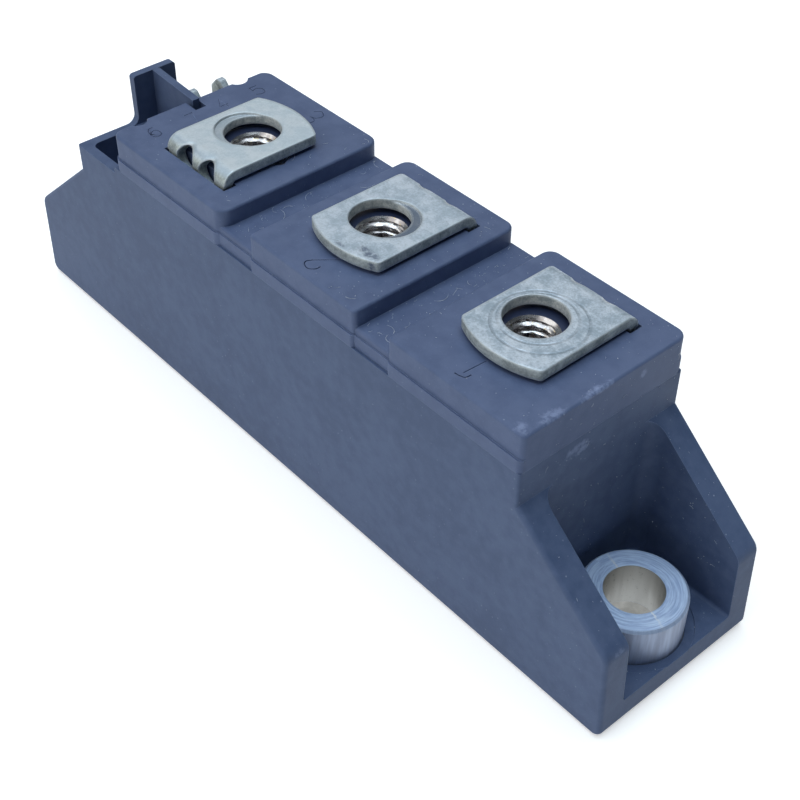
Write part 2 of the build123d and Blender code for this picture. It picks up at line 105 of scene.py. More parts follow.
class NodeNet:
    """Small helper that adds shader nodes and links them."""

    def __init__(self, tree: bpy.types.NodeTree) -> None:
        """Keep the tree that nodes go into."""
        self.tree = tree

    def feed(self, socket: Socket, value: object) -> None:
        """Link a socket to another one, or set it to a constant.

        Args:
            socket: Input that receives the value.
            value: Output socket, number, or tuple.
        """
        if isinstance(value, Socket):
            self.tree.links.new(value, socket)
        elif isinstance(value, tuple) and len(value) == 3 and socket.type == "RGBA":
            socket.default_value = (*value, 1.0)
        else:
            socket.default_value = value

    def add(self, kind: str, *values: object, **settings: object) -> Node:
        """Add a node and feed its first inputs.

        Args:
            kind: Node type without its ShaderNode prefix.
            *values: Values of its first inputs, in order.
            **settings: Node properties, by name.

        Returns:
            The new node.
        """
        node = self.tree.nodes.new("ShaderNode" + kind)
        for name, setting in settings.items():
            setattr(node, name, setting)
        for socket, value in zip(node.inputs, values):
            self.feed(socket, value)
        return node

    def math(self, operation: str, *values: object) -> Socket:
        """Result of a Math node."""
        return self.add("Math", *values, operation=operation).outputs[0]

    def times(self, first: object, second: object) -> Socket:
        """Product of two values."""
        return self.math("MULTIPLY", first, second)

    def plus(self, first: object, second: object) -> Socket:
        """Sum of two values."""
        return self.math("ADD", first, second)

    def minus(self, first: object, second: object) -> Socket:
        """Difference of two values."""
        return self.math("SUBTRACT", first, second)

    def vector(self, operation: str, *values: object) -> Socket:
        """Result of a Vector Math node: a number for a length or a dot product, else a vector."""
        outputs = self.add("VectorMath", *values, operation=operation).outputs
        return outputs["Value" if operation in ("LENGTH", "DOT_PRODUCT") else "Vector"]

    def combine(self, *values: object) -> Socket:
        """Vector made of up to three values."""
        return self.add("CombineXYZ", *values).outputs[0]

    def noise(self, place: object, scale: float, detail: float, rough: float) -> Socket:
        """Add a noise texture.

        Args:
            place: Coordinates.
            scale: Cells per metre.
            detail: Octaves.
            rough: Strength of the fine octaves.

        Returns:
            The noise value.
        """
        node = self.add("TexNoise", place)
        for name, value in (("Scale", scale), ("Detail", detail), ("Roughness", rough)):
            self.feed(node.inputs[name], value)
        return node.outputs["Fac"]

    def ramp(self, value: object, low: float, high: float, start: float = 0.0, end: float = 1.0) -> Socket:
        """Map a value smoothly from the range low to high to the range start to end."""
        return self.add("MapRange", value, low, high, start, end, interpolation_type="SMOOTHSTEP").outputs[0]

    def mix(self, factor: object, first: object, second: object) -> Socket:
        """Mix two colours.

        Args:
            factor: Share of the second colour.
            first: First colour.
            second: Second colour.

        Returns:
            The mixed colour.
        """
        node = self.add("Mix", factor, data_type="RGBA")
        self.feed(node.inputs[6], first)
        self.feed(node.inputs[7], second)
        return node.outputs[2]

    def position(self) -> Socket:
        """Object coordinates, which are the row frame in metres."""
        return self.add("TexCoord").outputs["Object"]

    def normal(self) -> Socket:
        """The surface's own normal."""
        return self.add("NewGeometry").outputs["Normal"]

    def axis(self, vector: object, name: str) -> Socket:
        """One component of a vector."""
        return self.add("SeparateXYZ", vector).outputs[name]

    def level(self) -> Socket:
        """Mask of the faces that look up or down."""
        return self.ramp(self.math("ABSOLUTE", self.axis(self.normal(), "Z")), 0.5, 0.9)

    def from_axis(self, x: float, y: float) -> Socket:
        """Vector to the surface from the foot of an upright axis at a place in mm."""
        return self.vector("SUBTRACT", self.position(), (x * MM, y * MM, 0.0))

    def level_length(self, vector: Socket) -> Socket:
        """Length of a vector as seen from above."""
        return self.vector("LENGTH", self.vector("MULTIPLY", vector, (1.0, 1.0, 0.0)))


@dataclass(frozen=True)
class Effect:
    """A shader effect that several materials share, as one node group.

    Attributes:
        name: Name of the node group.
        inputs: Input names, types and default values.
        outputs: Output names and types.
        wiring: Function that fills the group.
    """

    name: str
    inputs: tuple[tuple[str, str, object], ...]
    outputs: tuple[tuple[str, str], ...]
    wiring: Callable[[NodeNet, Mapping[str, Socket]], dict[str, Socket]]

    def tree(self) -> bpy.types.NodeTree:
        """Give the node group, and build it the first time.

        Returns:
            The shader node group.
        """
        found = bpy.data.node_groups.get(self.name)
        if found is not None:
            return found
        tree = bpy.data.node_groups.new(self.name, "ShaderNodeTree")
        for name, kind, value in self.inputs:
            socket = tree.interface.new_socket(name, in_out="INPUT", socket_type=kind)
            socket.default_value = value
        for name, kind in self.outputs:
            tree.interface.new_socket(name, in_out="OUTPUT", socket_type=kind)
        net = NodeNet(tree)
        source = tree.nodes.new("NodeGroupInput")
        target = tree.nodes.new("NodeGroupOutput")
        for name, value in self.wiring(net, source.outputs).items():
            net.feed(target.inputs[name], value)
        return tree

    def place(self, net: NodeNet, **values: object) -> Mapping[str, Socket]:
        """Place the group in a material.

        Args:
            net: The material's nodes.
            **values: Input values, with spaces in names written as underscores.

        Returns:
            The group's outputs.
        """
        node = net.add("Group", node_tree=self.tree())
        for name, value in values.items():
            net.feed(node.inputs[name.replace("_", " ")], value)
        return node.outputs


NUMBER = "NodeSocketFloat"
VECTOR = "NodeSocketVector"


def wire_grain(net: NodeNet, given: Mapping[str, Socket]) -> dict[str, Socket]:
    """Fill the grain group: fine pits over soft waves.

    Args:
        net: The group's nodes.
        given: The group's inputs.

    Returns:
        The group's outputs.
    """
    place = net.position()
    fine = net.noise(place, 4200.0, 3.0, 0.6)
    soft = net.noise(place, 700.0, 3.0, 0.5)
    broad = net.noise(place, 110.0, 2.0, 0.5)
    height = net.plus(net.times(fine, given["Pit Share"]), net.times(soft, given["Wave Share"]))
    tone = net.plus(net.times(soft, 0.5), net.times(broad, 0.5))
    return {"Height": height, "Tone": tone, "Speckle": fine}


GRAIN = Effect(
    "surface_grain",
    (("Pit Share", NUMBER, 0.6), ("Wave Share", NUMBER, 0.6)),
    (("Height", NUMBER), ("Tone", NUMBER), ("Speckle", NUMBER)),
    wire_grain,
)


def wire_edge(net: NodeNet, given: Mapping[str, Socket]) -> dict[str, Socket]:
    """Fill the edge group: rounded normals, and a mask where they turn away from the flat ones.

    Args:
        net: The group's nodes.
        given: The group's inputs.

    Returns:
        The group's outputs.
    """
    rounded = net.add("Bevel", given["Radius"], samples=4).outputs[0]
    turned = net.minus(1.0, net.vector("DOT_PRODUCT", rounded, net.normal()))
    broken = net.ramp(net.noise(net.position(), 700.0, 4.0, 0.7), 0.35, 0.62)
    mask = net.times(net.ramp(turned, 0.01, 0.16), net.plus(net.times(broken, 0.65), 0.35))
    return {"Normal": rounded, "Mask": mask}


EDGE = Effect(
    "rounded_edge",
    (("Radius", NUMBER, 0.0002),),
    (("Normal", VECTOR), ("Mask", NUMBER)),
    wire_edge,
)


def wire_dust(net: NodeNet, given: Mapping[str, Socket]) -> dict[str, Socket]:
    """Fill the dust group: small pale specks and a film, thicker on faces that look up.

    Args:
        net: The group's nodes.
        given: The group's inputs.

    Returns:
        The group's outputs.
    """
    cells = net.add("TexVoronoi", net.position(), feature="F1")
    net.feed(cells.inputs["Scale"], 1500.0)
    specks = net.ramp(cells.outputs["Distance"], 0.05, 0.16, 1.0, 0.0)
    chosen = net.math("LESS_THAN", net.axis(cells.outputs["Color"], "X"), given["Share"])
    patches = net.ramp(net.noise(net.position(), 160.0, 3.0, 0.6), 0.4, 0.6)
    up = net.ramp(net.axis(net.normal(), "Z"), -0.2, 0.7, 0.35, 1.0)
    film = net.ramp(net.noise(net.position(), 420.0, 5.0, 0.7), 0.45, 0.8)
    return {
        "Specks": net.times(net.times(specks, chosen), net.times(patches, up)),
        "Film": net.times(film, up),
    }


DUST = Effect(
    "dust_specks",
    (("Share", NUMBER, 0.3),),
    (("Specks", NUMBER), ("Film", NUMBER)),
    wire_dust,
)


def wire_mottle(net: NodeNet, given: Mapping[str, Socket]) -> dict[str, Socket]:
    """Fill the plating group: cloudy mottling, small dents and stray scratches.

    Args:
        net: The group's nodes.
        given: The group's inputs.

    Returns:
        The group's outputs.
    """
    place = net.position()
    cloud = net.noise(place, 650.0, 6.0, 0.68)
    spots = net.noise(place, 4400.0, 4.0, 0.7)
    stretch = net.add("Mapping", place)
    net.feed(stretch.inputs["Rotation"], (0.0, 0.0, 0.7))
    net.feed(stretch.inputs["Scale"], (0.12, 1.0, 1.0))
    lines = net.noise(stretch.outputs[0], 9000.0, 2.0, 0.5)
    scratch = net.times(net.ramp(lines, 0.64, 0.72), net.ramp(cloud, 0.45, 0.6))
    blotch = net.plus(net.times(cloud, 0.65), net.times(spots, 0.35))
    return {
        "Blotch": net.ramp(blotch, 0.38, 0.63),
        "Scratch": net.times(scratch, given["Scratches"]),
        "Height": net.plus(blotch, net.times(scratch, -0.35)),
    }


MOTTLE = Effect(
    "plating_mottle",
    (("Scratches", NUMBER, 0.5),),
    (("Blotch", NUMBER), ("Scratch", NUMBER), ("Height", NUMBER)),
    wire_mottle,
)


def wire_scuff(net: NodeNet, given: Mapping[str, Socket]) -> dict[str, Socket]:
    """Fill the scuff group: broken marks inside an ellipsoid.

    Args:
        net: The group's nodes.
        given: The group's inputs.

    Returns:
        The group's outputs.
    """
    place = net.position()
    shift = net.vector("SUBTRACT", place, given["Centre"])
    length = net.vector("LENGTH", net.vector("DIVIDE", shift, given["Reach"]))
    inside = net.ramp(length, 0.3, 1.0, 1.0, 0.0)
    broken = net.plus(net.noise(place, 1500.0, 6.0, 0.72), net.times(inside, 0.22))
    return {"Mask": net.times(net.ramp(broken, 0.56, 0.8), inside)}


SCUFF = Effect(
    "scuff_patch",
    (("Centre", VECTOR, (0.0, 0.0, 0.0)), ("Reach", VECTOR, (0.001, 0.001, 0.001))),
    (("Mask", NUMBER),),
    wire_scuff,
)


@dataclass(frozen=True)
class Scuff:
    """One scuffed or smudged patch.

    Attributes:
        centre: Middle of the patch in mm.
        reach: Half sizes of the patch in mm.
        strength: How strongly the mark shows.
    """

    centre: Point3
    reach: Point3
    strength: float

    def over(self, net: NodeNet, tone: Socket, colour: Colour) -> Socket:
        """Lay the mark over a colour.

        Args:
            net: The material's nodes.
            tone: Colour below.
            colour: Colour of the mark.

        Returns:
            The colour with the mark.
        """
        centre = tuple(value * MM for value in self.centre)
        reach = tuple(value * MM for value in self.reach)
        mask = SCUFF.place(net, Centre=centre, Reach=reach)["Mask"]
        return net.mix(net.times(mask, self.strength), tone, colour)


class Finish:
    """Base of every finish: makes its material once and paints objects with it."""

    name: str

    def wire(self, net: NodeNet, shader: Node) -> None:
        """Connect the finish to the shader; each finish has its own."""
        raise NotImplementedError

    def material(self) -> bpy.types.Material:
        """Give the material, and build it the first time.

        Returns:
            The node material.
        """
        name = "look_" + self.name
        found = bpy.data.materials.get(name)
        if found is not None:
            return found
        made = bpy.data.materials.new(name)
        made.use_nodes = True
        made.node_tree.nodes.clear()
        net = NodeNet(made.node_tree)
        shader = net.add("BsdfPrincipled")
        net.add("OutputMaterial", shader.outputs["BSDF"])
        self.wire(net, shader)
        return made

    def paint(self, piece: Piece) -> None:
        """Give an object this finish in its first slot."""
        piece.data.materials.clear()
        piece.data.materials.append(self.material())

    @staticmethod
    def bump(net: NodeNet, shader: Node, height: Socket, depth: float, normal: Socket | None = None) -> None:
        """Feed a bump into the shader's normal.

        Args:
            net: The material's nodes.
            shader: Principled shader.
            height: Height socket.
            depth: Depth of the bump in mm.
            normal: Normal that the bump starts from, if any.
        """
        node = net.add("Bump")
        net.feed(node.inputs["Strength"], 1.0)
        net.feed(node.inputs["Distance"], depth * MM)
        net.feed(node.inputs["Height"], height)
        if normal is not None:
            net.feed(node.inputs["Normal"], normal)
        net.feed(shader.inputs["Normal"], node.outputs[0])


@dataclass(frozen=True)
class MouldedPlastic(Finish):
    """Matte moulded plastic with fine grain, rubbed edges and settled dust.

    Attributes:
        name: Material name.
        base: Colour of the plastic.
        worn: Colour of rubbed edges and scuffs.
        roughness: Roughness of clean plastic.
        speckle: How strongly the grain shows in the colour.
        dust: Share of dust cells that hold a speck.
        scuffs: Rubbed patches.
        darkening: How strongly the grain darkens red, green and blue.
        film_tint: Colour of the thin film of dust.
        speck_tint: Colour of the dust specks.
        edge_radius: Radius of the rubbed edges in mm.
        depth: Depth of the bump in mm.
    """

    name: str
    base: Colour
    worn: Colour
    roughness: float
    speckle: float
    dust: float
    scuffs: tuple[Scuff, ...] = ()
    darkening: Colour = (1.4, 1.0, 0.5)
    film_tint: Colour = srgb(150, 162, 188)
    speck_tint: Colour = srgb(190, 200, 220)
    edge_radius: float = 0.11
    depth: float = 0.02

    def wire(self, net: NodeNet, shader: Node) -> None:
        """Connect grain, worn edges and dust.

        Args:
            net: The material's nodes.
            shader: Principled shader.
        """
        grain = GRAIN.place(net, Pit_Share=0.7, Wave_Share=0.5)
        edge = EDGE.place(net, Radius=self.edge_radius * MM)
        dust = DUST.place(net, Share=self.dust)
        dark = tuple(value * (1.0 - self.speckle * share) for value, share in zip(self.base, self.darkening))
        light = tuple(min(1.0, value * (1.0 + self.speckle)) for value in self.base)
        tone = net.mix(net.ramp(grain["Tone"], 0.35, 0.65), dark, light)
        tone = net.mix(net.ramp(grain["Speckle"], 0.62, 0.74, 0.0, 0.14), tone, self.worn)
        tone = net.mix(net.ramp(edge["Mask"], 0.01, 0.35, 0.0, 0.5), tone, self.worn)
        for scuff in self.scuffs:
            tone = scuff.over(net, tone, self.worn)
        tone = net.mix(net.times(dust["Film"], 0.06), tone, self.film_tint)
        tone = net.mix(net.times(dust["Specks"], 0.5), tone, self.speck_tint)
        net.feed(shader.inputs["Base Color"], tone)
        rough = net.ramp(grain["Tone"], 0.3, 0.7, self.roughness - 0.02, self.roughness + 0.03)
        net.feed(shader.inputs["Roughness"], rough)
        net.feed(shader.inputs["Specular IOR Level"], 0.35)
        self.bump(net, shader, grain["Height"], self.depth, edge["Normal"])


@dataclass(frozen=True)
class TinPlating(Finish):
    """Dull mottled tin plating on punched copper.

    Attributes:
        name: Material name.
        pale: Colour of the clean plating.
        grey: Colour of the blotches.
        hole: Centre and radius of the screw hole in mm.
        rings: Centre and radius in mm of each witness ring that a washer left.
        smudges: Dark smudges.
        smooth: Roughness of the flat faces.
        dent_shade: Strength of the painted shade on the sunk part beside the hole.
        dent_levels: Depths in mm below the terminals' tops between which the painted shade of the dent ends.
        dent_reach: Distances in mm from the hole's axis between which it ends.
        cut_tints: Blotchy and clean colour of the sheared faces.
        bore_tints: Blotchy and clean colour of the hole's wall.
        dent_shade_tint: Colour of the painted shade on the sunk part.
        ring_tint: Colour of the witness rings.
        rim_highlight: Colour of the painted highlight on the edges.
        scratch_tint: Colour of the scratches.
        smudge_tint: Colour of the smudges.
        edge_radius: Radius of the rounded edges and of their painted highlight in mm.
        depth: Depth of the bump in mm.
    """

    name: str
    pale: Colour = srgb(210, 224, 242)
    grey: Colour = srgb(158, 174, 190)
    hole: Point3 = (0.0, 0.0, 0.0)
    rings: tuple[Point3, ...] = ()
    smudges: tuple[Scuff, ...] = ()
    smooth: float = 0.38
    dent_shade: float = 0.0
    dent_levels: Point2 = (0.18, 0.08)
    dent_reach: Point2 = (4.2, 4.4)
    cut_tints: tuple[Colour, Colour] = (srgb(142, 150, 150), srgb(204, 212, 208))
    bore_tints: tuple[Colour, Colour] = (srgb(168, 180, 186), srgb(244, 248, 246))
    dent_shade_tint: Colour = srgb(84, 98, 120)
    ring_tint: Colour = srgb(90, 104, 118)
    rim_highlight: Colour = srgb(234, 242, 250)
    scratch_tint: Colour = srgb(215, 222, 228)
    smudge_tint: Colour = srgb(88, 100, 126)
    edge_radius: float = 0.4
    depth: float = 0.04

    def wire(self, net: NodeNet, shader: Node) -> None:
        """Connect mottling, sheared faces, the painted highlight on the edges and the witness rings.

        Args:
            net: The material's nodes.
            shader: Principled shader.
        """
        mottle = MOTTLE.place(net, Scratches=0.6)
        edge = EDGE.place(net, Radius=self.edge_radius * MM)
        reach = self.reach(net, self.hole)
        flat = net.level()
        side = self.side_tone(net, mottle["Blotch"], reach)
        tone = net.mix(flat, side, self.face_tone(net, mottle["Blotch"], reach))
        height = mottle["Height"]
        for ring in self.rings:
            mark = self.ring_mark(net, ring)
            tone = net.mix(net.times(mark, 0.3), tone, self.ring_tint)
            height = net.minus(height, net.times(mark, 0.8))
        # Painted highlight along the rounded edges.
        tone = net.mix(net.ramp(edge["Mask"], 0.02, 0.4, 0.0, 0.8), tone, self.rim_highlight)
        tone = net.mix(net.times(mottle["Scratch"], 0.5), tone, self.scratch_tint)
        for smudge in self.smudges:
            tone = smudge.over(net, tone, self.smudge_tint)
        net.feed(shader.inputs["Base Color"], tone)
        net.feed(shader.inputs["Metallic"], net.plus(0.25, net.times(flat, 0.3)))
        rough = net.ramp(mottle["Blotch"], 0.0, 1.0, self.smooth + 0.16, self.smooth)
        net.feed(shader.inputs["Roughness"], rough)
        self.bump(net, shader, height, self.depth, edge["Normal"])

    def face_tone(self, net: NodeNet, blotch: Socket, reach: Socket) -> Socket:
        """Colour of the flat faces, with painted shade where the tab is dented beside its hole.

        Args:
            net: The material's nodes.
            blotch: Mask of the clean plating.
            reach: Level distance from the hole's axis.

        Returns:
            The colour.
        """
        low, high = (CAD_BOX[1][2] - level * MM for level in self.dent_levels)
        near, far = (distance * MM for distance in self.dent_reach)
        # Painted shade on the sunk floor beside the hole, for the shaded slope of the dent.
        sunk = net.ramp(net.axis(net.position(), "Z"), low, high, 1.0, 0.0)
        dent_shade = net.times(sunk, net.ramp(reach, near, far, 1.0, 0.0))
        return net.mix(net.times(dent_shade, self.dent_shade), net.mix(blotch, self.grey, self.pale), self.dent_shade_tint)

    def side_tone(self, net: NodeNet, blotch: Socket, reach: Socket) -> Socket:
        """Colour of the sheared faces and of the hole's wall.

        Args:
            net: The material's nodes.
            blotch: Mask of the clean plating.
            reach: Level distance from the hole's axis.

        Returns:
            The colour.
        """
        radius = self.hole[2]
        bore = net.ramp(reach, (radius + 0.05) * MM, (radius + 0.2) * MM, 1.0, 0.0)
        return net.mix(bore, net.mix(blotch, *self.cut_tints), net.mix(blotch, *self.bore_tints))

    @staticmethod
    def ring_mark(net: NodeNet, ring: Point3) -> Socket:
        """Mask of the ring that a washer has pressed into the plating.

        Args:
            net: The material's nodes.
            ring: Centre and radius in mm.

        Returns:
            The ring's mask.
        """
        off = net.math("ABSOLUTE", net.minus(TinPlating.reach(net, ring), ring[2] * MM))
        broken = net.ramp(net.noise(net.position(), 500.0, 3.0, 0.6), 0.35, 0.55, 0.35, 1.0)
        return net.times(net.ramp(off, 0.04 * MM, 0.2 * MM, 1.0, 0.0), broken)

    @staticmethod
    def reach(net: NodeNet, circle: Point3) -> Socket:
        """Level distance in metres from the axis of a circle in mm."""
        return net.level_length(net.from_axis(circle[0], circle[1]))


@dataclass(frozen=True)
class TurnedSteel(Finish):
    """Turned and plated steel with marks round an upright axis.

    Attributes:
        name: Material name.
        centre: X of the axis in mm.
        bore_radius: Radius of the bore in mm.
        pale: Colour of the faced end.
        grey: Colour of the darker marks.
        side: Colour of the outer wall.
        bore: Colour inside the bore.
        stain: Colour of the spots inside the bore.
        scratch_tint: Colour of the scratches.
        rim_highlight: Colour of the painted highlight on the edges.
        headings: Where round the axis the two scratches lie, in radians.
        edge_radius: Radius of the rounded edges and of their painted highlight in mm.
        depth: Depth of the bump in mm.
    """

    name: str
    centre: float
    bore_radius: float = 2.86
    pale: Colour = srgb(200, 220, 250)
    grey: Colour = srgb(156, 178, 218)
    side: Colour = srgb(152, 160, 184)
    bore: Colour = srgb(184, 184, 182)
    stain: Colour = srgb(96, 96, 94)
    scratch_tint: Colour = srgb(228, 234, 245)
    rim_highlight: Colour = srgb(214, 226, 248)
    headings: Point2 = (2.86, -0.29)
    edge_radius: float = 0.18
    depth: float = 0.03

    def wire(self, net: NodeNet, shader: Node) -> None:
        """Connect turning marks, bore tint, scratches and the painted highlight on the edges.

        Args:
            net: The material's nodes.
            shader: Principled shader.
        """
        offset = net.from_axis(self.centre, 0.0)
        radius = net.level_length(offset)
        angle = net.math("ARCTAN2", net.axis(offset, "Y"), net.axis(offset, "X"))
        flat = net.level()
        marks = self.turning_marks(net, radius, angle, flat)
        inside = net.ramp(radius, self.bore_radius * MM, (self.bore_radius + 0.2) * MM, 1.0, 0.0)
        wall = net.times(inside, net.minus(1.0, flat))
        tone = net.mix(net.ramp(marks, 0.34, 0.66), self.grey, self.pale)
        outer = net.mix(flat, self.side, tone)
        tone = net.mix(net.times(net.ramp(marks, 0.3, 0.7), 0.35), outer, tone)
        stains = net.ramp(net.noise(net.position(), 2600.0, 5.0, 0.75), 0.58, 0.7, 0.0, 0.6)
        tone = net.mix(wall, tone, net.mix(stains, self.bore, self.stain))
        tone = net.mix(net.times(self.scratches(net, radius, angle), flat), tone, self.scratch_tint)
        edge = EDGE.place(net, Radius=self.edge_radius * MM)
        # Painted highlight along the rounded edges.
        tone = net.mix(net.times(edge["Mask"], 0.5), tone, self.rim_highlight)
        net.feed(shader.inputs["Base Color"], tone)
        net.feed(shader.inputs["Metallic"], net.plus(0.35, net.times(wall, 0.5)))
        rough = net.minus(net.ramp(marks, 0.3, 0.7, 0.55, 0.4), net.times(wall, 0.12))
        net.feed(shader.inputs["Roughness"], rough)
        self.bump(net, shader, marks, self.depth, edge["Normal"])

    def turning_marks(self, net: NodeNet, radius: Socket, angle: Socket, flat: Socket) -> Socket:
        """Rings on the faced ends and upright streaks on the walls.

        Args:
            net: The material's nodes.
            radius: Distance from the axis.
            angle: Angle round the axis.
            flat: Mask of the faced ends.

        Returns:
            The marks' value.
        """
        z = net.axis(net.position(), "Z")
        rings = net.noise(net.combine(radius, net.times(angle, 0.0003)), 5200.0, 4.0, 0.65)
        streaks = net.noise(net.combine(net.times(angle, 0.005), net.times(z, 0.08)), 1500.0, 4.0, 0.6)
        return net.mix(flat, streaks, rings)

    def scratches(self, net: NodeNet, radius: Socket, angle: Socket) -> Socket:
        """Mask of two short radial scratches across the faced end.

        Args:
            net: The material's nodes.
            radius: Distance from the axis.
            angle: Angle round the axis.

        Returns:
            The scratches' mask.
        """
        wobble = net.times(net.minus(net.noise(net.position(), 3500.0, 3.0, 0.7), 0.5), 0.16)
        masks = []
        for heading in self.headings:
            off = net.math("ABSOLUTE", net.plus(net.minus(angle, heading), wobble))
            masks.append(net.ramp(off, 0.01, 0.045, 0.95, 0.0))
        fade = net.ramp(radius, 2.9 * MM, 4.5 * MM, 1.0, 0.35)
        return net.times(net.math("MAXIMUM", *masks), fade)


@dataclass(frozen=True)
class PlainFinish(Finish):
    """Simple finish with soft mottling, for small and hidden pieces.

    Attributes:
        name: Material name.
        light: Lighter colour.
        dark: Darker colour.
        roughness: Roughness.
        scale: Size of the mottling, in cells per metre.
        metallic: Share of metal.
        coat: Strength of a clear coat.
        depth: Depth of the bump in mm.
    """

    name: str
    light: Colour
    dark: Colour
    roughness: float
    scale: float
    metallic: float = 0.0
    coat: float = 0.0
    depth: float = 0.01

    def wire(self, net: NodeNet, shader: Node) -> None:
        """Connect the mottling.

        Args:
            net: The material's nodes.
            shader: Principled shader.
        """
        value = net.noise(net.position(), self.scale, 4.0, 0.6)
        net.feed(shader.inputs["Base Color"], net.mix(net.ramp(value, 0.35, 0.65), self.dark, self.light))
        net.feed(shader.inputs["Metallic"], self.metallic)
        net.feed(shader.inputs["Coat Weight"], self.coat)
        rough = net.ramp(value, 0.3, 0.7, self.roughness + 0.07, self.roughness - 0.05)
        net.feed(shader.inputs["Roughness"], rough)
        self.bump(net, shader, value, self.depth)


@dataclass(frozen=True)
class NutFinish(Finish):
    """Bright nickel plating with warm glints on the thread and painted shade on the top face.

    Attributes:
        name: Material name.
        bright: Colour of the plating.
        warm: Colour of the warmer patches.
        glint: Colour of the glints.
        top_shade: Colour of the painted shade on the top face, which lies in shadow under the terminal.
        depth: Depth of the bump in mm.
    """

    name: str
    bright: Colour
    warm: Colour
    glint: Colour
    top_shade: Colour
    depth: float = 0.006

    def wire(self, net: NodeNet, shader: Node) -> None:
        """Connect the plating's patches and the painted shade on the top face.

        Args:
            net: The material's nodes.
            shader: Principled shader.
        """
        value = net.noise(net.position(), 1400.0, 3.0, 0.5)
        glints = net.ramp(net.noise(net.position(), 3000.0, 2.0, 0.5), 0.62, 0.7)
        top = net.ramp(net.axis(net.normal(), "Z"), 0.9, 0.98)
        tone = net.mix(net.ramp(value, 0.4, 0.6), self.warm, self.bright)
        tone = net.mix(net.times(glints, 0.6), tone, self.glint)
        # The top face takes the painted shade colour, darker and less metallic, for its shadow under the
        # terminal.
        net.feed(shader.inputs["Base Color"], net.mix(top, tone, self.top_shade))
        net.feed(shader.inputs["Metallic"], net.minus(0.9, net.times(top, 0.8)))
        rough = net.plus(net.ramp(value, 0.3, 0.7, 0.3, 0.2), net.times(top, 0.25))
        net.feed(shader.inputs["Roughness"], rough)
        self.bump(net, shader, value, self.depth)


CASE_FINISH = MouldedPlastic(
    name="case_plastic",
    base=srgb(79, 94, 126),
    worn=srgb(132, 148, 186),
    roughness=0.6,
    speckle=0.15,
    dust=0.3,
    scuffs=(Scuff((34.0, -2.9, 22.8), (0.3, 2.6, 1.2), 0.7), Scuff((45.5, -8.4, 10.7), (0.8, 0.9, 0.7), 0.5)),
)
LID_FINISH = MouldedPlastic(
    name="lid_plastic",
    base=srgb(87, 101, 135),
    worn=srgb(144, 158, 196),
    roughness=0.56,
    speckle=0.12,
    dust=0.26,
    scuffs=(
        Scuff((33.9, -1.2, 28.2), (0.9, 3.2, 0.4), 0.75),
        Scuff((33.5, -6.4, 28.2), (1.0, 2.6, 0.4), 0.6),
        Scuff((33.0, -9.2, 28.2), (1.3, 1.0, 0.4), 0.6),
        Scuff((34.0, 4.5, 27.0), (0.4, 0.8, 0.8), 0.6),
    ),
)
# Plastic of the groove faces, darker than the lid: painted shade inside the engraved grooves.
GROOVE_SHADE_FINISH = MouldedPlastic(
    name="lid_groove_shade",
    base=srgb(60, 73, 106),
    worn=srgb(86, 98, 128),
    roughness=0.6,
    speckle=0.08,
    dust=0.05,
)
NICKEL_FINISH = NutFinish(
    name="nut_nickel",
    bright=srgb(226, 224, 226),
    warm=srgb(186, 180, 182),
    glint=srgb(232, 212, 150),
    # Painted shade of the top faces under the terminals.
    top_shade=srgb(44, 54, 84),
)
PLATE_FINISH = PlainFinish(
    "plate_nickel", srgb(190, 188, 184), srgb(164, 162, 158), roughness=0.36, scale=500.0, metallic=0.85
)
COPPER_FINISH = PlainFinish(
    "bare_copper", srgb(206, 130, 98), srgb(176, 100, 72), roughness=0.38, scale=1500.0, metallic=0.9
)
CERAMIC_FINISH = PlainFinish(
    "white_ceramic", srgb(236, 236, 232), srgb(222, 222, 216), roughness=0.5, scale=2500.0
)
SILICON_FINISH = PlainFinish(
    "silicon", srgb(72, 74, 84), srgb(48, 50, 60), roughness=0.22, scale=900.0, metallic=0.3
)
SLEEVE_FINISH = PlainFinish(
    "lead_sleeve", srgb(226, 224, 216), srgb(206, 204, 196), roughness=0.55, scale=1800.0
)
GEL_FINISH = PlainFinish(
    "clear_gel", srgb(208, 214, 210), srgb(190, 198, 194), roughness=0.18, scale=300.0, coat=0.4
)
DUST_FINISH = PlainFinish(
    "dust_fibre", srgb(214, 220, 232), srgb(168, 178, 200), roughness=0.8, scale=4000.0
)
FIRST_TIN = TinPlating(
    name="tin_terminal_1",
    hole=(24.87, 0.45, 3.0),
    rings=((25.63, 0.19, 4.32), (25.2, 0.4, 3.55)),
)
SECOND_TIN = TinPlating(
    name="tin_terminal_2",
    grey=srgb(168, 184, 200),
    hole=(4.81, -0.08, 3.0),
    smudges=(
        Scuff((8.4, -4.6, 29.8), (2.4, 1.0, 0.6), 0.8),
        Scuff((9.5, -4.9, 29.2), (0.9, 0.9, 0.9), 0.9),
        Scuff((5.5, -5.6, 29.8), (1.6, 0.4, 0.4), 0.6),
    ),
    # Strength of the painted shade in the dent beside the hole.
    dent_shade=0.85,
)
THIRD_TIN = TinPlating(
    name="tin_terminal_3",
    pale=srgb(214, 228, 242),
    grey=srgb(192, 208, 222),
    hole=(-15.36, 0.12, 3.0),
    smooth=0.34,
    # Strength of the painted shade in the dent beside the hole.
    dent_shade=0.35,
)


def add_object(name: str, data: bpy.types.ID) -> Piece:
    """Make an object and link it to the scene.

    Args:
        name: Name of the object.
        data: Its mesh, camera or lamp.

    Returns:
        The new object.
    """
    made = bpy.data.objects.new(name, data)
    bpy.context.scene.collection.objects.link(made)
    return made


def new_piece(name: str, mesh: bpy.types.Mesh, finish: Finish) -> Piece:
    """Put a mesh in the scene as a piece of the object.

    Args:
        name: Name of the piece.
        mesh: Its mesh, in metres in the row frame.
        finish: Finish that it is painted with.

    Returns:
        The new object.
    """
    piece = add_object(name, mesh)
    finish.paint(piece)
    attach(piece, "root")
    return piece


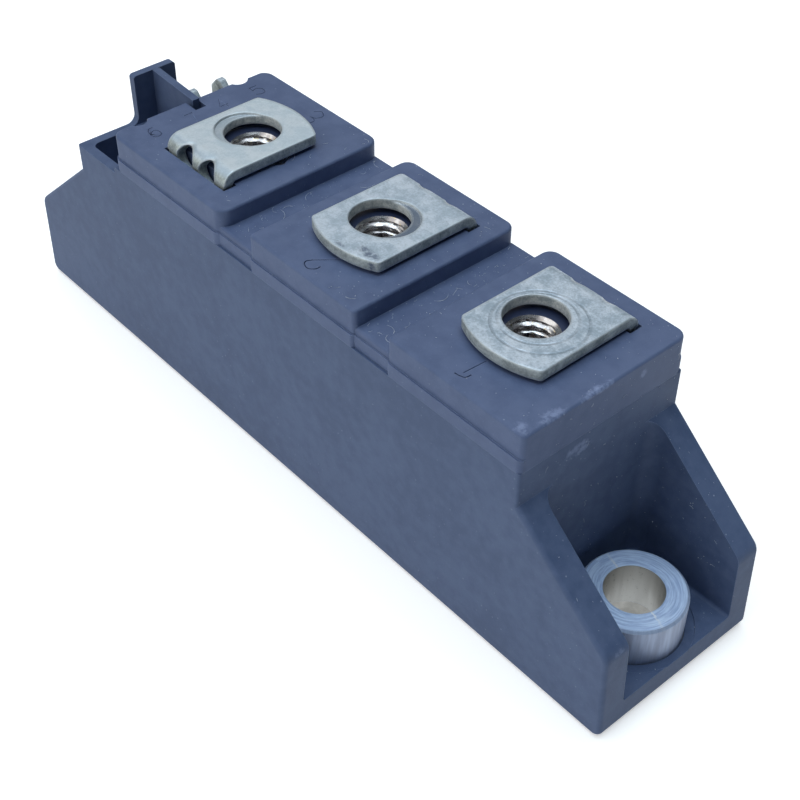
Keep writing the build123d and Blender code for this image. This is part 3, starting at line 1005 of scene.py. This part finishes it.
def loft(rings: Sequence[Sequence[Point3]]) -> bpy.types.Mesh:
    """Join rings of points with quads, and the last ring with the first.

    Args:
        rings: Rings with equal numbers of points.

    Returns:
        The mesh.
    """
    count = len(rings[0])
    faces = []
    for row in range(len(rings)):
        here, there = row * count, (row + 1) % len(rings) * count
        for column in range(count):
            after = (column + 1) % count
            faces.append((here + column, here + after, there + after, there + column))
    mesh = bpy.data.meshes.new("lofted")
    mesh.from_pydata([point for ring in rings for point in ring], [], faces)
    mesh.update()
    return mesh


def skin(body: bmesh.types.BMesh, rows: Sequence[Sequence[bmesh.types.BMVert]]) -> None:
    """Join rows of vertices into a bar with flat ends.

    Args:
        body: Mesh that the faces go into.
        rows: Rows with equal numbers of vertices.
    """
    count = len(rows[0])
    for first, second in zip(rows, rows[1:]):
        for column in range(count):
            after = (column + 1) % count
            body.faces.new((first[column], first[after], second[after], second[column]))
    body.faces.new(rows[0][::-1])
    body.faces.new(rows[-1])


def even_normals(mesh: bpy.types.Mesh, degrees: float) -> None:
    """Set normals so that flat areas shade flat and only the small faces between them blend.

    Args:
        mesh: Mesh whose normals are set.
        degrees: Angle above which two faces don't blend.
    """
    body = bmesh.new()
    body.from_mesh(mesh)
    body.faces.ensure_lookup_table()
    area = flat_areas(body)
    least = math.cos(math.radians(degrees))
    normals = []
    for face in body.faces:
        for loop in face.loops:
            total = Vector((0.0, 0.0, 0.0))
            for other in loop.vert.link_faces:
                if other.normal.dot(face.normal) > least:
                    total += other.normal * area[other.index] ** 2
            normals.append(total.normalized())
    body.free()
    mesh.polygons.foreach_set("use_smooth", [True] * len(mesh.polygons))
    mesh.normals_split_custom_set(normals)


def flat_areas(body: bmesh.types.BMesh, same: float = 0.99999) -> list[float]:
    """Area of the flat patch that each face belongs to, in square mm.

    Args:
        body: Mesh to look through.
        same: Cosine above which two normals count as equal.

    Returns:
        One area for each face.
    """
    area = [0.0] * len(body.faces)
    done = set()
    for seed in body.faces:
        if seed.index in done:
            continue
        patch, queue = [], [seed]
        done.add(seed.index)
        while queue:
            face = queue.pop()
            patch.append(face)
            for other in (neighbour for edge in face.edges for neighbour in edge.link_faces):
                if other.index not in done and other.normal.dot(seed.normal) > same:
                    done.add(other.index)
                    queue.append(other)
        total = sum(face.calc_area() for face in patch) / MM**2
        for face in patch:
            area[face.index] = total
    return area


@dataclass
class ThreadedNut:
    """Hexagonal nut with a real helical thread, in place of a plain bored one.

    Attributes:
        node: CAD node that it stands for.
        flats: Distance across flats in mm.
        rim_inset: Step in mm from the flats to the rim of the end faces.
        chamfer: Slope of the corners' chamfer in degrees.
        pitch: Thread pitch in mm.
        core: Radius at the thread's crests in mm.
        root: Radius at the thread's roots in mm.
        flank: Steepness of the thread's flanks; above 1 it leaves flat crests and roots.
        crest: Depth that the flat crest takes away, as a share of the full depth.
        mouth: Radius of the countersunk mouth in mm.
        steps: Points round the nut.
        rows_per_pitch: Rings along one pitch.
        smooth_angle: Edges above this angle in degrees stay sharp.
    """

    node: str
    flats: float = 8.0
    rim_inset: float = 0.1
    chamfer: float = 30.0
    pitch: float = 0.8
    core: float = 2.07
    root: float = 2.5
    flank: float = 1.6
    crest: float = 0.3
    mouth: float = 2.6
    steps: int = 96
    rows_per_pitch: int = 10
    smooth_angle: float = 35.0

    def build(self) -> Piece:
        """Build and dress the nut.

        Returns:
            The nut.
        """
        low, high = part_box(self.node)
        centre = (low + high) / 2
        height = (high.z - low.z) / MM
        rings = [
            [(centre.x + x * MM, centre.y + y * MM, low.z + z * MM) for x, y, z in ring]
            for ring in self.bore_rings(height) + self.outer_rings(height)
        ]
        mesh = loft(rings)
        mesh.polygons.foreach_set("use_smooth", [True] * len(mesh.polygons))
        mesh.set_sharp_from_angle(angle=math.radians(self.smooth_angle))
        piece = new_piece(self.node + "_threaded", mesh, NICKEL_FINISH)
        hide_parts(self.node)
        return piece

    def bore_rings(self, height: float) -> list[list[Point3]]:
        """Rings of the threaded bore, from the bottom mouth to the top one.

        Args:
            height: Height of the nut in mm.

        Returns:
            The rings.
        """
        rows = int(height / self.pitch * self.rows_per_pitch)
        rings = []
        for row in range(rows + 1):
            z = height * row / rows
            mouth = self.mouth - min(z, height - z)
            ring = []
            for step in range(self.steps):
                turn = step / self.steps
                phase = (z / self.pitch - turn) % 1.0
                tooth = min(1.0, max(0.0, self.flank * abs(2 * phase - 1) - self.crest))
                radius = max(self.core + (self.root - self.core) * tooth, mouth)
                angle = 2 * math.pi * turn
                ring.append((radius * math.cos(angle), radius * math.sin(angle), z))
            rings.append(ring)
        return rings

    def outer_rings(self, height: float) -> list[list[Point3]]:
        """Rings of the outside, from the top face's rim down to the bottom face's rim.

        Args:
            height: Height of the nut in mm.

        Returns:
            The rings.
        """
        apothem = self.flats / 2
        rim = apothem - self.rim_inset
        slope = math.tan(math.radians(self.chamfer))
        rings = [[], [], [], []]
        for step in range(self.steps):
            angle = 2 * math.pi * step / self.steps
            reach = apothem / math.cos(angle % (math.pi / 3) - math.pi / 6)
            drop = (reach - rim) * slope
            levels = ((rim, height), (reach, height - drop), (reach, drop), (rim, 0.0))
            for ring, (radius, z) in zip(rings, levels):
                ring.append((radius * math.cos(angle), radius * math.sin(angle), z))
        return rings


GLYPHS: dict[str, Glyph] = {
    "3": (
        ((0.05, 0.85), (0.4, 1.05), (0.95, 0.9), (0.85, 0.62), (0.45, 0.52)),
        ((0.45, 0.52), (1.0, 0.45), (0.98, 0.05), (0.5, -0.04), (0.02, 0.16)),
    ),
    "4": (((0.75, 0.0), (0.75, 1.0)), ((0.75, 1.0), (0.0, 0.3)), ((0.0, 0.3), (1.0, 0.3))),
    "5": (
        ((0.95, 1.0), (0.15, 1.0)),
        ((0.15, 1.0), (0.08, 0.55)),
        ((0.08, 0.55), (0.5, 0.7), (1.02, 0.5), (0.95, 0.05), (0.45, -0.05), (0.0, 0.12)),
    ),
    "6": (
        (
            (0.85, 0.98), (0.3, 0.9), (0.0, 0.5), (0.02, 0.1), (0.5, -0.06),
            (0.98, 0.1), (0.95, 0.52), (0.5, 0.62), (0.06, 0.42),
        ),
    ),
    "7": (((0.0, 1.0), (1.0, 1.0)), ((1.0, 1.0), (0.35, 0.0))),
}


@dataclass(frozen=True)
class Numeral:
    """A numeral of the unit glyphs, placed on the lid.

    Attributes:
        glyph: Which numeral it is.
        x: X of its centre in mm.
        y: Y of its centre in mm.
        width: Width in mm.
        height: Height in mm.
        turn: Turn in degrees; 0 has the top towards +Y.
    """

    glyph: str
    x: float
    y: float
    width: float
    height: float
    turn: float = 90.0

    def strokes(self) -> list[Stroke]:
        """Place the glyph's strokes.

        Returns:
            The strokes in mm.
        """
        angle = math.radians(self.turn)
        cosine, sine = math.cos(angle), math.sin(angle)

        def placed(u: float, v: float) -> Point2:
            """Place one point of the unit box."""
            a, b = (u - 0.5) * self.width, (v - 0.5) * self.height
            return self.x + a * cosine - b * sine, self.y + a * sine + b * cosine

        return [tuple(placed(u, v) for u, v in stroke) for stroke in GLYPHS[self.glyph]]


def curve(before: float, start: float, end: float, after: float, t: float) -> float:
    """Value at a share t of the way from start to end, on a smooth curve through four values.

    Args:
        before: Value before the start.
        start: Value at t = 0.
        end: Value at t = 1.
        after: Value after the end.
        t: Share of the way.

    Returns:
        The value.
    """
    return 0.5 * (
        2 * start
        + (end - before) * t
        + (2 * before - 5 * start + 4 * end - after) * t * t
        + (3 * start - before - 3 * end + after) * t * t * t
    )


def stroke_points(stroke: Stroke, steps: int = 6) -> list[Point2]:
    """Points along a stroke, rounded through its middle points.

    Args:
        stroke: Control points.
        steps: Points between two control points.

    Returns:
        Points along the smooth line.
    """
    if len(stroke) == 2:
        return list(stroke)
    padded = [stroke[0], *stroke, stroke[-1]]
    line = []
    for index in range(len(stroke) - 1):
        four = padded[index:index + 4]
        for step in range(steps):
            line.append(tuple(curve(*values, step / steps) for values in zip(*four)))
    line.append(stroke[-1])
    return line


@dataclass
class EngravedLid:
    """The moulded lid with its engraved numerals, in place of the plain one.

    Attributes:
        top: Height of the pads in mm.
        groove_width: Width of a groove in mm.
        clear_depth: Depth of the grooves of the numerals 1 and 2 in mm.
        faint_depth: Depth of the other numerals' grooves in mm.
        floor_share: Half width of a groove's floor, as a share of its width.
        overlap: Height in mm by which the cutters stand above the pads.
        touch: Depth in mm below which a face counts as part of a pad.
        smooth_angle: Edges above this angle in degrees stay sharp.
        numeral_one: Strokes of the 1 in mm.
        numeral_two: Strokes of the 2 in mm.
        numerals: The other numerals.
    """

    top: float = 28.3
    groove_width: float = 0.14
    clear_depth: float = 0.12
    faint_depth: float = 0.06
    floor_share: float = 0.22
    overlap: float = 0.05
    touch: float = 0.002
    smooth_angle: float = 28.0
    numeral_one: Glyph = (
        ((24.98, -8.06), (25.13, -5.66)),
        ((24.55, -8.68), (25.0, -8.62), (25.52, -8.38), (25.6, -7.85)),
    )
    numeral_two: Glyph = (
        ((5.95, -5.85), (4.31, -7.85)),
        ((4.31, -7.85), (4.07, -8.41), (4.38, -8.81), (5.04, -8.95), (5.57, -8.48), (5.61, -7.99)),
        ((5.95, -5.85), (4.05, -5.85)),
    )
    numerals: tuple[Numeral, ...] = (
        Numeral("3", -15.4, 7.65, 1.5, 2.8, 0.0),
        Numeral("6", -23.75, -6.45, 1.0, 1.8),
        Numeral("7", -23.45, -1.75, 0.95, 1.8),
        Numeral("4", -23.75, 2.2, 0.95, 1.8),
        Numeral("5", -23.6, 6.75, 1.1, 1.7),
    )

    def build(self) -> Piece:
        """Build and dress the lid.

        Returns:
            The lid.
        """
        mesh = NODES["lid"].data.copy()
        body = bmesh.new()
        body.from_mesh(mesh)
        bmesh.ops.remove_doubles(body, verts=body.verts, dist=1e-7)
        body.to_mesh(mesh)
        body.free()
        piece = new_piece("lid_engraved", mesh, LID_FINISH)
        # The second slot holds the groove plastic, darker as painted shade inside the grooves.
        piece.data.materials.append(GROOVE_SHADE_FINISH.material())
        clear = [*self.numeral_one, *self.numeral_two]
        faint = [stroke for numeral in self.numerals for stroke in numeral.strokes()]
        for strokes, depth in ((clear, self.clear_depth), (faint, self.faint_depth)):
            for stroke in strokes:
                self.cut(piece, stroke, depth)
        line = [point for stroke in clear + faint for point in stroke_points(stroke, steps=12)]
        self.paint_groove_shade(piece.data, line)
        even_normals(piece.data, self.smooth_angle)
        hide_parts("lid")
        return piece

    def paint_groove_shade(self, mesh: bpy.types.Mesh, line: Sequence[Point2]) -> None:
        """Give the faces inside the grooves the groove plastic, whose darker colour is painted shade.

        Args:
            mesh: The lid's mesh.
            line: Points along every stroke, in mm.
        """
        for face in mesh.polygons:
            centre = face.center / MM
            if self.touch < self.top - centre.z < 2 * self.clear_depth:
                near = min(math.dist((centre.x, centre.y), point) for point in line)
                face.material_index = 1 if near < 4 * self.groove_width else 0

    def groove_cutter(self, points: Sequence[Point2], depth: float) -> bpy.types.Mesh:
        """Closed prism with a V-shaped section along a line, for cutting a groove.

        Args:
            points: Line in mm.
            depth: Depth of the groove in mm.

        Returns:
            The prism in metres.
        """
        floor = self.floor_share
        section = (
            (-0.5, self.overlap),
            (0.5, self.overlap),
            (0.5, 0.0),
            (floor, -depth),
            (-floor, -depth),
            (-0.5, 0.0),
        )
        cutter = bmesh.new()
        rows = []
        last = len(points) - 1
        for index, point in enumerate(points):
            along = (Vector(points[min(index + 1, last)]) - Vector(points[max(index - 1, 0)])).normalized()
            across = Vector((-along.y, along.x))
            here = Vector(point)
            if index == 0:
                here = here - along * self.groove_width / 2
            if index == last:
                here = here + along * self.groove_width / 2
            row = []
            for side, rise in section:
                spot = here + across * side * self.groove_width
                row.append(cutter.verts.new((spot.x * MM, spot.y * MM, (self.top + rise) * MM)))
            rows.append(row)
        skin(cutter, rows)
        bmesh.ops.recalc_face_normals(cutter, faces=cutter.faces)
        mesh = bpy.data.meshes.new("cutter")
        cutter.to_mesh(mesh)
        cutter.free()
        # Faces cut by this prism take the groove plastic, darker as painted shade.
        mesh.materials.append(GROOVE_SHADE_FINISH.material())
        return mesh

    def cut(self, piece: Piece, stroke: Stroke, depth: float) -> None:
        """Cut one stroke into the lid.

        Args:
            piece: The lid.
            stroke: Control points in mm.
            depth: Depth of the groove in mm.
        """
        tool = add_object("cutter", self.groove_cutter(stroke_points(stroke), depth))
        modifier = piece.modifiers.new("engrave", "BOOLEAN")
        modifier.operation = "DIFFERENCE"
        modifier.solver = "MANIFOLD"
        modifier.object = tool
        bpy.context.view_layer.update()
        graph = bpy.context.evaluated_depsgraph_get()
        result = bpy.data.meshes.new_from_object(piece.evaluated_get(graph))
        piece.modifiers.clear()
        piece.data = result
        bpy.data.objects.remove(tool)


DOWN = (0.0, 0.0, -1.0)
ABOVE = 40.0


@dataclass(frozen=True)
class DustPatch:
    """A patch that dust has settled on, found by casting rays from a box onto the plastic.

    Attributes:
        low: Low corner of the box in mm.
        high: High corner of the box in mm.
        direction: Way the rays go.
        fibres: Number of fibres tried.
        specks: Number of specks tried.
        longest: Length of the longest fibres in mm.
    """

    low: Point3
    high: Point3
    direction: Point3
    fibres: int
    specks: int
    longest: float = 1.6


def across_normal(normal: Vector, angle: float) -> Vector:
    """Direction at right angles to a normal, turned round it by an angle."""
    across = normal.orthogonal().normalized()
    return across * math.cos(angle) + normal.cross(across) * math.sin(angle)


@dataclass
class Dust:
    """Fibres and specks of dust on the plastic.

    Attributes:
        plastic: Objects that the dust may lie on.
        others: Objects that hide the plastic.
        patches: Where the dust lies.
        seed: Start of the random series.
        fibre_steps: Straight parts of a fibre.
        fibre_radius: Thinnest and thickest radius of a fibre in mm.
        fibre_lengths: Lengths of fibres, as shares of the patch's longest.
        speck_radii: Radii of specks in mm.
        vary: Lowest and highest factor by which a length or a speck's radius varies.
        chance: Random series.
        body: Mesh that the dust goes into.
        tree: Search tree over all the objects.
        limit: Number of its faces that are plastic.
    """

    plastic: tuple[Piece, ...]
    others: tuple[Piece, ...]
    patches: tuple[DustPatch, ...] = (
        DustPatch((12.8, -9.0, ABOVE), (17.3, 9.5, ABOVE), DOWN, 34, 130),
        DustPatch((-7.2, -9.0, ABOVE), (-2.8, 9.5, ABOVE), DOWN, 20, 90),
        DustPatch((17.3, -9.5, ABOVE), (34.0, 9.5, ABOVE), DOWN, 7, 120, 0.9),
        DustPatch((7.5, -9.5, ABOVE), (12.6, 9.5, ABOVE), DOWN, 13, 80),
        DustPatch((-2.8, -9.5, ABOVE), (1.5, 9.5, ABOVE), DOWN, 3, 14),
        DustPatch((-11.0, -9.5, ABOVE), (-7.4, 9.5, ABOVE), DOWN, 7, 16),
        DustPatch((60.0, -7.0, 5.0), (60.0, 9.6, 28.0), (-1.0, 0.0, 0.0), 26, 170, 0.7),
        DustPatch((35.0, 0.0, 5.0), (45.0, 0.0, 18.0), (0.0, 1.0, 0.0), 9, 60, 0.8),
        DustPatch((34.5, -9.6, ABOVE), (45.5, 9.6, ABOVE), DOWN, 8, 80, 1.2),
        DustPatch((20.0, -9.0, 27.4), (20.0, 9.0, 27.4), (-1.0, 0.0, -0.1), 3, 14),
    )
    seed: int = 11
    fibre_steps: int = 8
    fibre_radius: Point2 = (0.009, 0.017)
    fibre_lengths: tuple[float, ...] = (0.2, 0.25, 0.3, 0.4, 0.5, 0.7, 1.0)
    speck_radii: tuple[float, ...] = (0.02, 0.03, 0.03, 0.045, 0.06)
    vary: Point2 = (0.8, 1.2)
    chance: random.Random = field(init=False)
    body: bmesh.types.BMesh = field(init=False)
    tree: BVHTree = field(init=False)
    limit: int = field(init=False)

    def __post_init__(self) -> None:
        """Start the random series and the mesh, and make the search tree."""
        self.chance = random.Random(self.seed)
        self.body = bmesh.new()
        self.tree, self.limit = self.surface()

    def build(self) -> Piece:
        """Build and dress the dust.

        Returns:
            The dust.
        """
        for patch in self.patches:
            for _ in range(patch.fibres):
                self.fibre(self.hit(patch), patch.longest)
            for _ in range(patch.specks):
                self.speck(self.hit(patch))
        mesh = bpy.data.meshes.new("dust")
        self.body.to_mesh(mesh)
        self.body.free()
        return new_piece("settled_dust", mesh, DUST_FINISH)

    def surface(self) -> tuple[BVHTree, int]:
        """Search tree over all the objects, plastic ones first.

        Returns:
            The tree, and the number of its faces that are plastic.
        """
        points, faces, limit = [], [], 0
        for piece in (*self.plastic, *self.others):
            start = len(points)
            points.extend(vertex.co.copy() for vertex in piece.data.vertices)
            faces.extend([start + index for index in face.vertices] for face in piece.data.polygons)
            if piece in self.plastic:
                limit = len(faces)
        return BVHTree.FromPolygons(points, faces), limit

    def hit(self, patch: DustPatch) -> Spot | None:
        """Find a random place of a patch.

        Args:
            patch: Patch of dust.

        Returns:
            Place and normal, or None where the ray meets no plastic.
        """
        start = Vector([self.chance.uniform(a, b) * MM for a, b in zip(patch.low, patch.high)])
        place, normal, index, _ = self.tree.ray_cast(start, Vector(patch.direction).normalized())
        if place is None or index >= self.limit:
            return None
        return place, normal

    def fibre(self, spot: Spot | None, longest: float) -> None:
        """Add one bent fibre that lies on the plastic.

        Args:
            spot: Place and normal, or None for no fibre.
            longest: Length of the longest fibres in mm.
        """
        heading = self.chance.uniform(0.0, 2 * math.pi)
        bend = self.chance.uniform(-2.4, 2.4)
        length = longest * self.chance.choice(self.fibre_lengths) * self.chance.uniform(*self.vary) * MM
        radius = self.chance.uniform(*self.fibre_radius) * MM
        if spot is None:
            return
        place, normal = spot
        steps = self.fibre_steps
        line = [place + normal * radius * 1.5]
        for step in range(steps):
            line.append(line[-1] + across_normal(normal, heading + bend * step / steps) * length / steps)
        if not all(self.touches(point, radius) for point in line):
            return
        rows = []
        for step, point in enumerate(line):
            size = radius * (0.35 if step in (0, steps) else 1.0)
            along = (line[min(step + 1, steps)] - line[max(step - 1, 0)]).normalized()
            side = along.cross(normal)
            corners = ((side, 1.0), (normal, 1.0), (side, -1.0), (normal, -1.0))
            rows.append([self.body.verts.new(point + way * sign * size) for way, sign in corners])
        skin(self.body, rows)

    def touches(self, point: Vector, radius: float) -> bool:
        """Whether a fibre of a radius rests on the plastic at a point, neither sunk nor in the air."""
        _, _, index, distance = self.tree.find_nearest(point)
        return index is not None and index < self.limit and 0.5 * radius < distance < 3 * radius

    def speck(self, spot: Spot | None) -> None:
        """Add one small speck.

        Args:
            spot: Place and normal, or None for no speck.
        """
        radius = self.chance.choice(self.speck_radii) * self.chance.uniform(*self.vary) * MM
        turn = self.chance.uniform(0.0, math.pi)
        if spot is None:
            return
        place, normal = spot
        middle = place + normal * radius * 0.5
        rim = []
        for step in range(4):
            reach = radius * (1.0 if step % 2 else 0.6)
            rim.append(self.body.verts.new(middle + across_normal(normal, turn + step * math.pi / 2) * reach))
        top = self.body.verts.new(middle + normal * radius * 0.5)
        bottom = self.body.verts.new(middle - normal * radius * 0.45)
        for first, second in zip(rim, rim[1:] + rim[:1]):
            self.body.faces.new((first, second, top))
            self.body.faces.new((second, first, bottom))


@dataclass
class DressedNodes:
    """Finishes of the CAD nodes that stay as they are.

    Attributes:
        finishes: Each finish with the names of its nodes.
    """

    finishes: tuple[tuple[Finish, tuple[str, ...]], ...] = (
        (FIRST_TIN, ("terminal_1",)),
        (SECOND_TIN, ("terminal_2",)),
        (THIRD_TIN, ("terminal_3",)),
        (TinPlating("tin_control_tab"), ("gate_tab", "cathode_tab")),
        (TurnedSteel("turned_bushing_front", 40.0), ("bushing_front",)),
        (TurnedSteel("turned_bushing_rear", -40.0), ("bushing_rear",)),
        (CASE_FINISH, ("housing",)),
        (PLATE_FINISH, ("base_plate",)),
        (COPPER_FINISH, ("substrate_lower_copper", "track_1", "track_2", "track_3")),
        (COPPER_FINISH, ("thyristor_strap", "diode_strap")),
        (CERAMIC_FINISH, ("substrate_ceramic",)),
        (SILICON_FINISH, ("thyristor_chip", "diode_chip")),
        (SLEEVE_FINISH, ("gate_lead", "cathode_lead")),
        (GEL_FINISH, ("silicone_gel",)),
    )

    def build(self) -> list[Piece]:
        """Dress every kept node.

        Returns:
            The dressed nodes.
        """
        dressed = []
        for finish, names in self.finishes:
            for name in names:
                finish.paint(NODES[name])
                dressed.append(NODES[name])
        return dressed


@dataclass
class Studio:
    """Floor, light and the camera at the photograph's place.

    Attributes:
        camera_place: Camera position in mm.
        target: Point that the camera looks at, in mm.
        photo_width: Width of the square photograph in pixels.
        focal_pixels: Focal length in pixels of the photograph.
        centre_pixels: Where the optical axis meets the photograph.
        sensor: Sensor width in mm.
        clip: Nearest and farthest distance that the camera sees, in metres.
        floor_half: Half width of the floor in metres.
        floor_drop: How far the floor lies below the object, in mm.
        floor_glow: Glow of the floor that the camera sees.
        glossy_share: Strength of that glow in reflections, as a share.
        world_tint: Colour of the world's light.
        world_light: Strength of the world's light.
        suns: Name, strength, spread in degrees, colour and direction of each lamp.
    """

    camera_place: Point3 = (88.83, -71.30, 106.09)
    target: Point3 = (12.56, -5.34, 12.74)
    photo_width: float = 800.0
    focal_pixels: float = 1416.24
    centre_pixels: Point2 = (391.61, 418.12)
    sensor: float = 36.0
    clip: Point2 = (0.005, 10.0)
    floor_half: float = 3.0
    floor_drop: float = 0.02
    floor_glow: float = 0.5
    glossy_share: float = 1.1
    world_tint: Colour = (0.55, 0.75, 1.0)
    world_light: float = 0.02
    suns: tuple[tuple[str, float, float, Colour, Point3], ...] = (
        ("side", 1.12, 66.0, (1.0, 1.0, 0.96), (-0.3, -0.8, 0.5)),
        ("overhead", 1.8, 56.0, (0.8, 0.93, 1.0), (0.0, 0.0, 1.0)),
        ("behind", 0.5, 60.0, (1.0, 0.92, 0.8), (-0.55, 0.48, 0.68)),
    )

    def build(self) -> None:
        """Build camera, floor, world and lamps."""
        self.camera()
        self.floor()
        self.world()
        self.lamps()
        bpy.context.scene.view_settings.view_transform = "Standard"

    def camera(self) -> None:
        """Create the camera."""
        data = bpy.data.cameras.new("photo_camera")
        data.sensor_width = self.sensor
        data.lens = self.focal_pixels * self.sensor / self.photo_width
        half = self.photo_width / 2
        data.shift_x = (half - self.centre_pixels[0]) / self.photo_width
        data.shift_y = (self.centre_pixels[1] - half) / self.photo_width
        data.clip_start, data.clip_end = self.clip
        camera = add_object("photo_camera", data)
        camera.location = Vector(self.camera_place) * MM
        look = Vector(self.target) * MM - camera.location
        camera.rotation_euler = look.to_track_quat("-Z", "Y").to_euler()
        bpy.context.scene.camera = camera

    def floor(self) -> None:
        """Create the pale floor, which glows for the camera and in reflections."""
        half = self.floor_half
        mesh = bpy.data.meshes.new("floor")
        corners = [(-half, -half, 0.0), (half, -half, 0.0), (half, half, 0.0), (-half, half, 0.0)]
        mesh.from_pydata(corners, [], [(0, 1, 2, 3)])
        floor = add_object("floor", mesh)
        floor.location.z = -self.floor_drop * MM
        material = bpy.data.materials.new("floor_white")
        material.use_nodes = True
        net = NodeNet(material.node_tree)
        shader = material.node_tree.nodes["Principled BSDF"]
        path = net.add("LightPath").outputs
        seen = net.plus(path["Is Camera Ray"], net.times(path["Is Glossy Ray"], self.glossy_share))
        net.feed(shader.inputs["Base Color"], (0.9, 0.9, 0.9))
        net.feed(shader.inputs["Roughness"], 0.9)
        net.feed(shader.inputs["Specular IOR Level"], 0.1)
        net.feed(shader.inputs["Emission Color"], (1.0, 1.0, 1.0))
        net.feed(shader.inputs["Emission Strength"], net.times(seen, self.floor_glow))
        mesh.materials.append(material)

    def world(self) -> None:
        """Create a dim world that the camera sees as white."""
        world = bpy.data.worlds.new("studio_world")
        world.use_nodes = True
        bpy.context.scene.world = world
        net = NodeNet(world.node_tree)
        background = world.node_tree.nodes["Background"]
        seen = net.add("LightPath").outputs["Is Camera Ray"]
        net.feed(background.inputs["Color"], net.mix(seen, self.world_tint, (1.0, 1.0, 1.0)))
        net.feed(background.inputs["Strength"], net.ramp(seen, 0.0, 1.0, self.world_light, 1.0))

    def lamps(self) -> None:
        """Create the soft lamps of the studio: at the long side, overhead and behind the far end."""
        for name, energy, spread, colour, towards in self.suns:
            data = bpy.data.lights.new(name, "SUN")
            data.energy = energy
            data.angle = math.radians(spread)
            data.color = colour
            lamp = add_object(name, data)
            lamp.rotation_euler = Vector(towards).to_track_quat("Z", "Y").to_euler()


def main() -> None:
    """Build everything in order and report each piece."""
    logging.basicConfig(level=logging.INFO, format="%(message)s")
    Studio().build()
    for node in DressedNodes().build():
        LOG.info("dressed %s", node.name)
    for name in ("nut_1", "nut_2", "nut_3"):
        LOG.info("built %s", ThreadedNut(name).build().name)
    lid = EngravedLid().build()
    LOG.info("built %s", lid.name)
    metal_names = ("terminal_1", "terminal_2", "terminal_3", "bushing_front", "bushing_rear")
    metal = tuple(NODES[name] for name in metal_names)
    LOG.info("built %s", Dust((lid, NODES["housing"]), metal).build().name)


if __name__ == "__main__":
    main()
